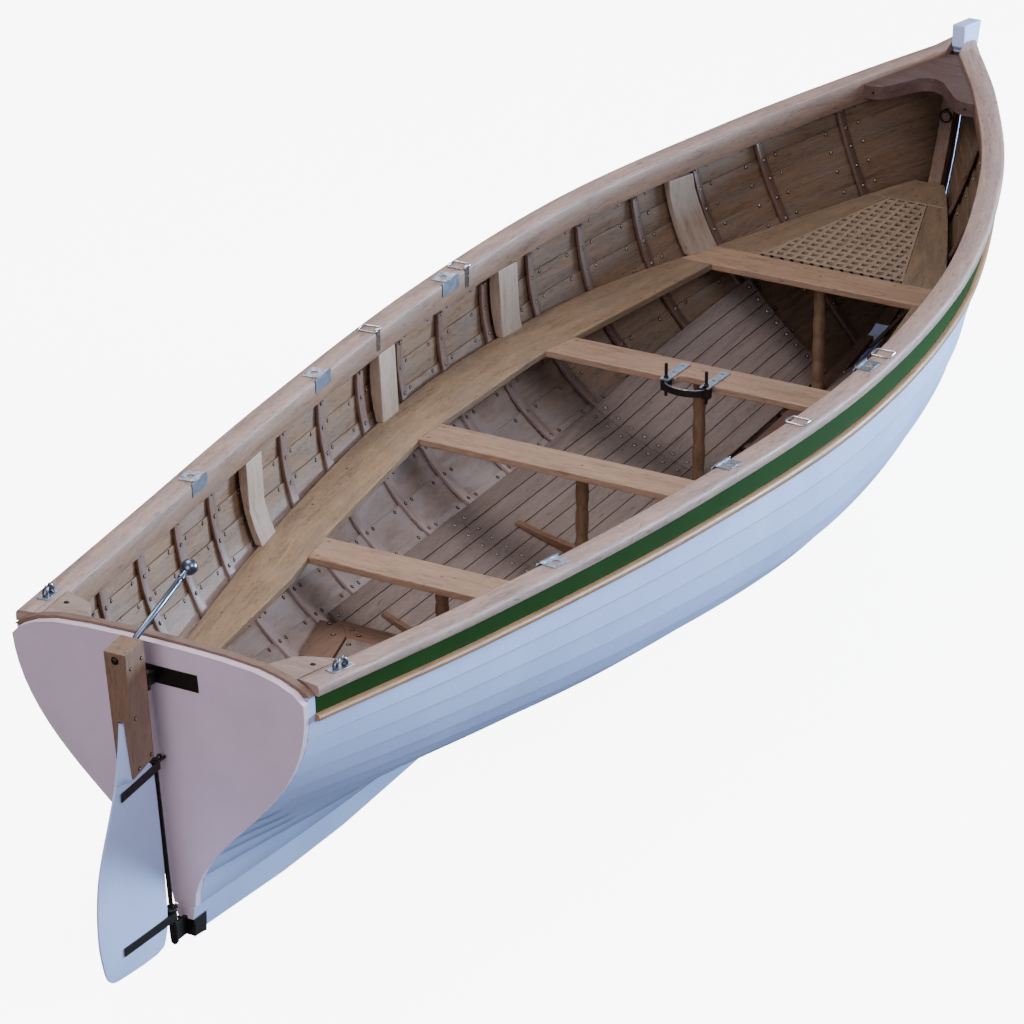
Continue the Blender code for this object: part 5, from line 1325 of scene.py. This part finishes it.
FAIRLEAD_PLACE, FAIRLEAD_HALF, HORN_APART = 0.173, 0.040, 0.019
HORN = ((0.75, 0.002, 0.0092), (1.0, 0.010, 0.0088), (0.86, 0.018, 0.0080), (0.45, 0.0245, 0.0064),
        (0.15, 0.0245, 0.0030))
for word, side in SIDES:
    make_piece(f"fairlead_plate_{word}",
               [rail_bar(FAIRLEAD_PLACE, side, (0.020, SEAT_GAP), (0.052, 0.003), FAIRLEAD_HALF)],
               [plate_steel], edge=0.0008, rounds=1)
    parts = []
    for way in (-1, 1):
        spots = [rail_spot(FAIRLEAD_PLACE + way * HORN_APART * share, side, 0.036, rise)
                 for share, rise, radius in HORN]
        parts.append(lathe(in_boat(spots), [radius for _, _, radius in HORN], sides=14))
    make_piece(f"fairlead_{word}", parts, [dark_steel], edge=0.0008, rounds=1,
               stands_for=[f"quarter_fairlead_{word}"], crease=45)

# Mast gate: two steel straps screwed to the third thwart, their after ends bored for drop pins, and
# a forged half ring that swings level about the port pin. Black square eyes close its two ends.
black_iron = metal("black_iron", (0.060, 0.052, 0.048), 0.46, dull=0.10)
GATE_HALF, GATE_AFT, GATE_BULGE = 0.067, 0.0185, 0.62
GATE_TOP, WORN_HALF, WORN_THICK = -0.0044, 0.0038, 0.0012
BLOCK_HALF, BLOCK_ENDS = 0.0128, (-0.034, -0.0006)
RING_END_TURN, STRAP_SCREWS, STRAP_TOP = 0.12, (0.028, 0.084), 0.0041
for word, side in SIDES:
    dress(f"mast_strap_{word}", strap_steel, 0.0006, 1)
dress("mast_gate", black_iron, 0.0006, 1)
gate_line, gate_top = THWARTS[2][0] - GATE_AFT, thwart_level(3)
rings = []
worn_section = box_ring(0, GATE_HALF - WORN_HALF, GATE_HALF + WORN_HALF, 0, WORN_THICK)
for turn in np.linspace(RING_END_TURN, math.pi - RING_END_TURN, 25):
    rings.append([(gate_line - radius * GATE_BULGE * math.sin(turn), radius * math.cos(turn),
                   gate_top + GATE_TOP + level) for _, radius, level in worn_section])
make_piece("gate_worn_edge", [shell(in_boat(rings))], [plate_steel], body="mast_gate",
           edge=0.0004, rounds=1)
blocks = []
for side in (1, -1):
    corners = [(gate_line + ahead * BLOCK_HALF, side * GATE_HALF + across * BLOCK_HALF)
               for ahead, across in ((-1, -1), (-1, 1), (1, 1), (1, -1))]
    blocks.append(shell(in_boat([[(*corner, gate_top + level) for corner in corners]
                                 for level in BLOCK_ENDS])))
make_piece("gate_eye_blocks", blocks, [black_iron], body="mast_gate",
           edge=0.0012)
strap_screws = Fastenings()
for side in (1, -1):
    for step in STRAP_SCREWS:
        strap_screws.add((THWARTS[2][0] + step, side * GATE_HALF, gate_top + STRAP_TOP), UP)
strap_screws.set_out("strap_screws", (0.0050, 0.0016), (0.0032, 0.0022), rove_finish=dark_steel,
                     nail_finish=plate_steel)

# Rudder: an oak stock slotted for the white blade, hung by two black straps on a long rod that
# stands on the keel's heel. A bracket on the transom steadies the stock, and a steel tiller with a
# ball is set in its head.
stock_wood = wood("stock_wood", (0.26, 0.155, 0.10), (0.10, 0.058, 0.038), (0.17, 0.11, 0.08),
                  run="Z", roughness=0.45)
dress("rudder_stock", stock_wood, 0.002)
dress("transom_bracket", black_iron, 0.0005, 1)
AXIS_FOOT, AXIS_RAKE = (0.057, 0.015), -0.1229
BLADE_EDGES = ((0.0235, -0.125, -0.020), (0.0290, -0.203, 0.001), (0.037, -0.2335, 0.0065),
               (0.055, -0.2530, 0.0125), (0.092, -0.2675, 0.0175), (0.165, -0.2838, 0.0157),
               (0.255, -0.2866, 0.0088), (0.340, -0.2768, 0.0005), (0.412, -0.2538, -0.0078),
               (0.480, -0.2248, -0.0158), (0.551, -0.1960, -0.0265), (0.5735, -0.1888, -0.0400),
               (0.5745, -0.1885, -0.0500), (0.651, -0.1720, -0.0700), (0.731, -0.1605, -0.0850))
BLADE_HALF, BLADE_RIM, SHOULDER_FROM = 0.010, 0.0028, 0.574
SHOULDER_FOOT, SHOULDER_HEAD, FOOT_THIN, FOOT_RISE = 0.0180, 0.0075, 0.45, 0.06
STOCK_AFT = ((0.575, -0.1400), (0.932, -0.1730))


def blade_section(high, aft, fore):
    """A leaf of the blade: thin edges and full middle, shouldered where it leaves the stock."""
    if high > SHOULDER_FROM:
        mouth = max(between(STOCK_AFT, high) - 0.0006, aft + 0.002)
        rise = (high - SHOULDER_FROM) / (BLADE_EDGES[-1][0] - SHOULDER_FROM)
        full = SHOULDER_FOOT + (SHOULDER_HEAD - SHOULDER_FOOT) * rise
        half = [(aft, BLADE_RIM), (aft * 0.4 + mouth * 0.6, full * 0.8), (mouth, full),
                (mouth + 0.0001, min(full, BLADE_HALF)), ((mouth + fore) / 2, BLADE_HALF),
                (fore, BLADE_HALF - 0.002)]
    else:
        half = [(aft + (fore - aft) * share, thick) for share, thick in
                ((0, BLADE_RIM), (0.12, 0.0062), (0.30, 0.0092), (0.55, BLADE_HALF),
                 (0.90, BLADE_HALF - 0.0005), (1, 0.0055))]
    thin = min(1.0, FOOT_THIN + (1 - FOOT_THIN) * (high - BLADE_EDGES[0][0]) / FOOT_RISE)
    half = [(along, out * thin) for along, out in half]
    return [(along, out, high) for along, out in half] + [(along, -out, high)
                                                          for along, out in half[::-1]]


rings = [blade_section(*row) for row in eased_table(BLADE_EDGES, 3 * len(BLADE_EDGES) - 2)]
make_piece("rudder_blade_faired", [shell(in_boat(rings))], [blade_paint], body="rudder",
           stands_for=["rudder_blade"], crease=40)

for name in ("rudder_strap_upper", "rudder_strap_lower"):
    dress(name, black_iron, 0.0005, 1)
tiller_steel = metal("tiller_steel", (0.15, 0.18, 0.25), 0.30, dull=0.06, scale=35.0)
TILLER_FOOT, TILLER_BALL = Vector((-0.1225, 0, 0.919)), Vector((0.171, 0, 1.028))
TILLER_TANG, TILLER_ROD, TILLER_NECK, TILLER_COLLAR = 0.0071, 0.0082, 0.0064, 0.0095
BALL_STEM, BALL_RADIUS = 0.0068, 0.0215
TILLER_STEPS = ((0.268, TILLER_TANG), (0.266, TILLER_ROD), (0.058, TILLER_ROD),
                (0.056, TILLER_NECK), (0.046, TILLER_NECK), (0.044, TILLER_COLLAR),
                (0.036, TILLER_COLLAR), (0.034, BALL_STEM), (0.024, BALL_STEM))
run = (TILLER_BALL - TILLER_FOOT).normalized()
line, radii = [TILLER_FOOT], [TILLER_TANG]
for back, radius in TILLER_STEPS:
    line.append(TILLER_BALL - run * back)
    radii.append(radius)
for turn in np.linspace(0.11, 0.985, 14) * math.pi:
    line.append(TILLER_BALL - run * BALL_RADIUS * math.cos(turn))
    radii.append(BALL_RADIUS * math.sin(turn))
make_piece("tiller_forged", [lathe([tuple(in_boat([tuple(point)])[0]) for point in line], radii)],
           [tiller_steel], body="rudder", stands_for=["tiller"], crease=50)


def on_axis(low, high, radii):
    """A turned piece on the rudder's raked axis between two heights."""
    steps = np.linspace(low, high, len(radii))
    line = [(AXIS_FOOT[0] + (level - AXIS_FOOT[1]) * AXIS_RAKE, 0, level) for level in steps]
    return lathe(in_boat(line), radii, sides=20)


def bar(ends, half_width, half_deep):
    """A flat bar from one place to another, as wide across the boat as twice its half width."""
    return shell(in_boat([box_ring(along, -half_width, half_width, high - half_deep,
                                   high + half_deep) for along, high in ends]))


def hoop(middle, radius, wire, upright=True):
    """A ring of round wire, standing in the centreplane or lying square to it."""
    rings = []
    for turn in np.linspace(0, 2 * math.pi, 28, endpoint=False):
        ahead, up = math.cos(turn), math.sin(turn)
        ring = []
        for around in np.linspace(0, 2 * math.pi, 10, endpoint=False):
            reach, off = radius + wire * math.cos(around), wire * math.sin(around)
            place = (ahead * reach, off, up * reach) if upright else (off, ahead * reach, up * reach)
            ring.append(tuple(a + b for a, b in zip(middle, place)))
        rings.append(ring)
    rings.append(rings[0])
    return shell(in_boat(rings), capped=False)


ROD_RADIUS, ROD_ENDS = 0.0062, (0.012, 0.572)
SHOE_HALF = BACKBONE_HALF + 0.0036
SHOE_FACE = ((0.012, 0.1175), (0.040, 0.1155), (0.062, 0.1124))
SHOE_FEET = ((0.1105, 0.012), (0.128, 0.011), (0.168, 0.006))
SHOE_TOP = 0.062
COLLAR_ENDS, COLLAR_RADII = (0.1165, 0.1245), (0.0155, 0.0185, 0.0185, 0.0155)
SOCKET_ENDS, SOCKET_RADII = (0.018, 0.084), (0.0105, 0.0115, 0.0115, 0.0105)
ARM_ENDS, ARM_HALVES = ((0.052, 0.045), (0.115, 0.045)), (0.0055, 0.026)
CLIP_AT, CLIP_RADIUS, CLIP_WIRE = (0.0080, 0, 0.5640), 0.0100, 0.0036
CLIP_STEM, CLIP_STEM_HALF = ((0.0125, 0.5576), (0.037, 0.5576)), 0.0032


def face_ring(along, half, high, near, far):
    """An upright plate's section at a height, between two distances aft of a face."""
    aft, fore = along - far, along - near
    return [(aft, -half, high), (fore, -half, high), (fore, half, high), (aft, half, high)]


rod = [on_axis(*ROD_ENDS, [ROD_RADIUS] * 2),
       on_axis(*COLLAR_ENDS, COLLAR_RADII), on_axis(*SOCKET_ENDS, SOCKET_RADII),
       bar(ARM_ENDS, *ARM_HALVES), hoop(CLIP_AT, CLIP_RADIUS, CLIP_WIRE),
       bar(CLIP_STEM, CLIP_STEM_HALF, CLIP_STEM_HALF),
       shell(in_boat([face_ring(along, SHOE_HALF, high, 0.0006, 0.004)
                      for high, along in SHOE_FACE]))]
for side in (1, -1):
    low, high = side * (BACKBONE_HALF + SEAT_GAP), side * SHOE_HALF
    rod.append(shell(in_boat([[(along, low, foot), (along, low, SHOE_TOP),
                               (along, high, SHOE_TOP), (along, high, foot)]
                              for along, foot in SHOE_FEET])))
# The keel's after end takes the transom's dimmed lilac paint, its painted light.
sternpost = [face_ring(along, half, high, 0.0005, 0.0030)
             for high, along, half in ((0.056, 0.1130, BACKBONE_HALF), (0.0995, 0.1080, 0.031))]
make_piece("sternpost_face", [shell(in_boat(sternpost))], [shaded_transom_paint],
           edge=0.0006, rounds=1)
make_piece("pintle_rod_forged", rod, [black_iron], edge=0.0006, rounds=1,
           stands_for=["pintle_rod"], crease=50)

# Painter ring: a black iron ring on an eye driven into the apron, under the breasthook. The boat's
# line is made fast to it.
RING_AT, RING_RADIUS, RING_WIRE = (4.622, 0, 0.838), 0.019, 0.0032
EYE_ENDS, EYE_HALF = (-0.004, 0.030), 0.005
painter = [hoop(RING_AT, RING_RADIUS, RING_WIRE, upright=False),
           bar([(RING_AT[0] + end, RING_AT[2] + RING_RADIUS) for end in EYE_ENDS], EYE_HALF,
               EYE_HALF)]
make_piece("painter_ring", painter, [black_iron], crease=50)

# Rudder fastenings: rivets through both cheeks of the stock, and the head of an iron bolt on its
# after face, level with the foot of the tiller.
STOCK_RIVETS = ((-0.150, 0.0300, 0.887), (-0.103, 0.0303, 0.898), (-0.130, 0.0263, 0.742),
                (-0.060, 0.0227, 0.612), (-0.113, 0.0222, 0.595))
rivets = Fastenings()
for along, out, high in STOCK_RIVETS:
    for side in (1, -1):
        rivets.add((along, side * (out + 0.0010), high), (0, side, 0))
rivets.set_out("stock_rivets", (0.0056, 0.0024), (0.0038, 0.0034), body="rudder")
BOLT_AT, BOLT_FACES = (-0.1722, 0, 0.912), (-0.996, 0, 0.09)
stock_bolt = Fastenings()
stock_bolt.add(BOLT_AT, BOLT_FACES)
stock_bolt.set_out("stock_bolt", (0.0115, 0.0040), (0.0085, 0.0075), body="rudder",
                   nail_finish=black_iron)
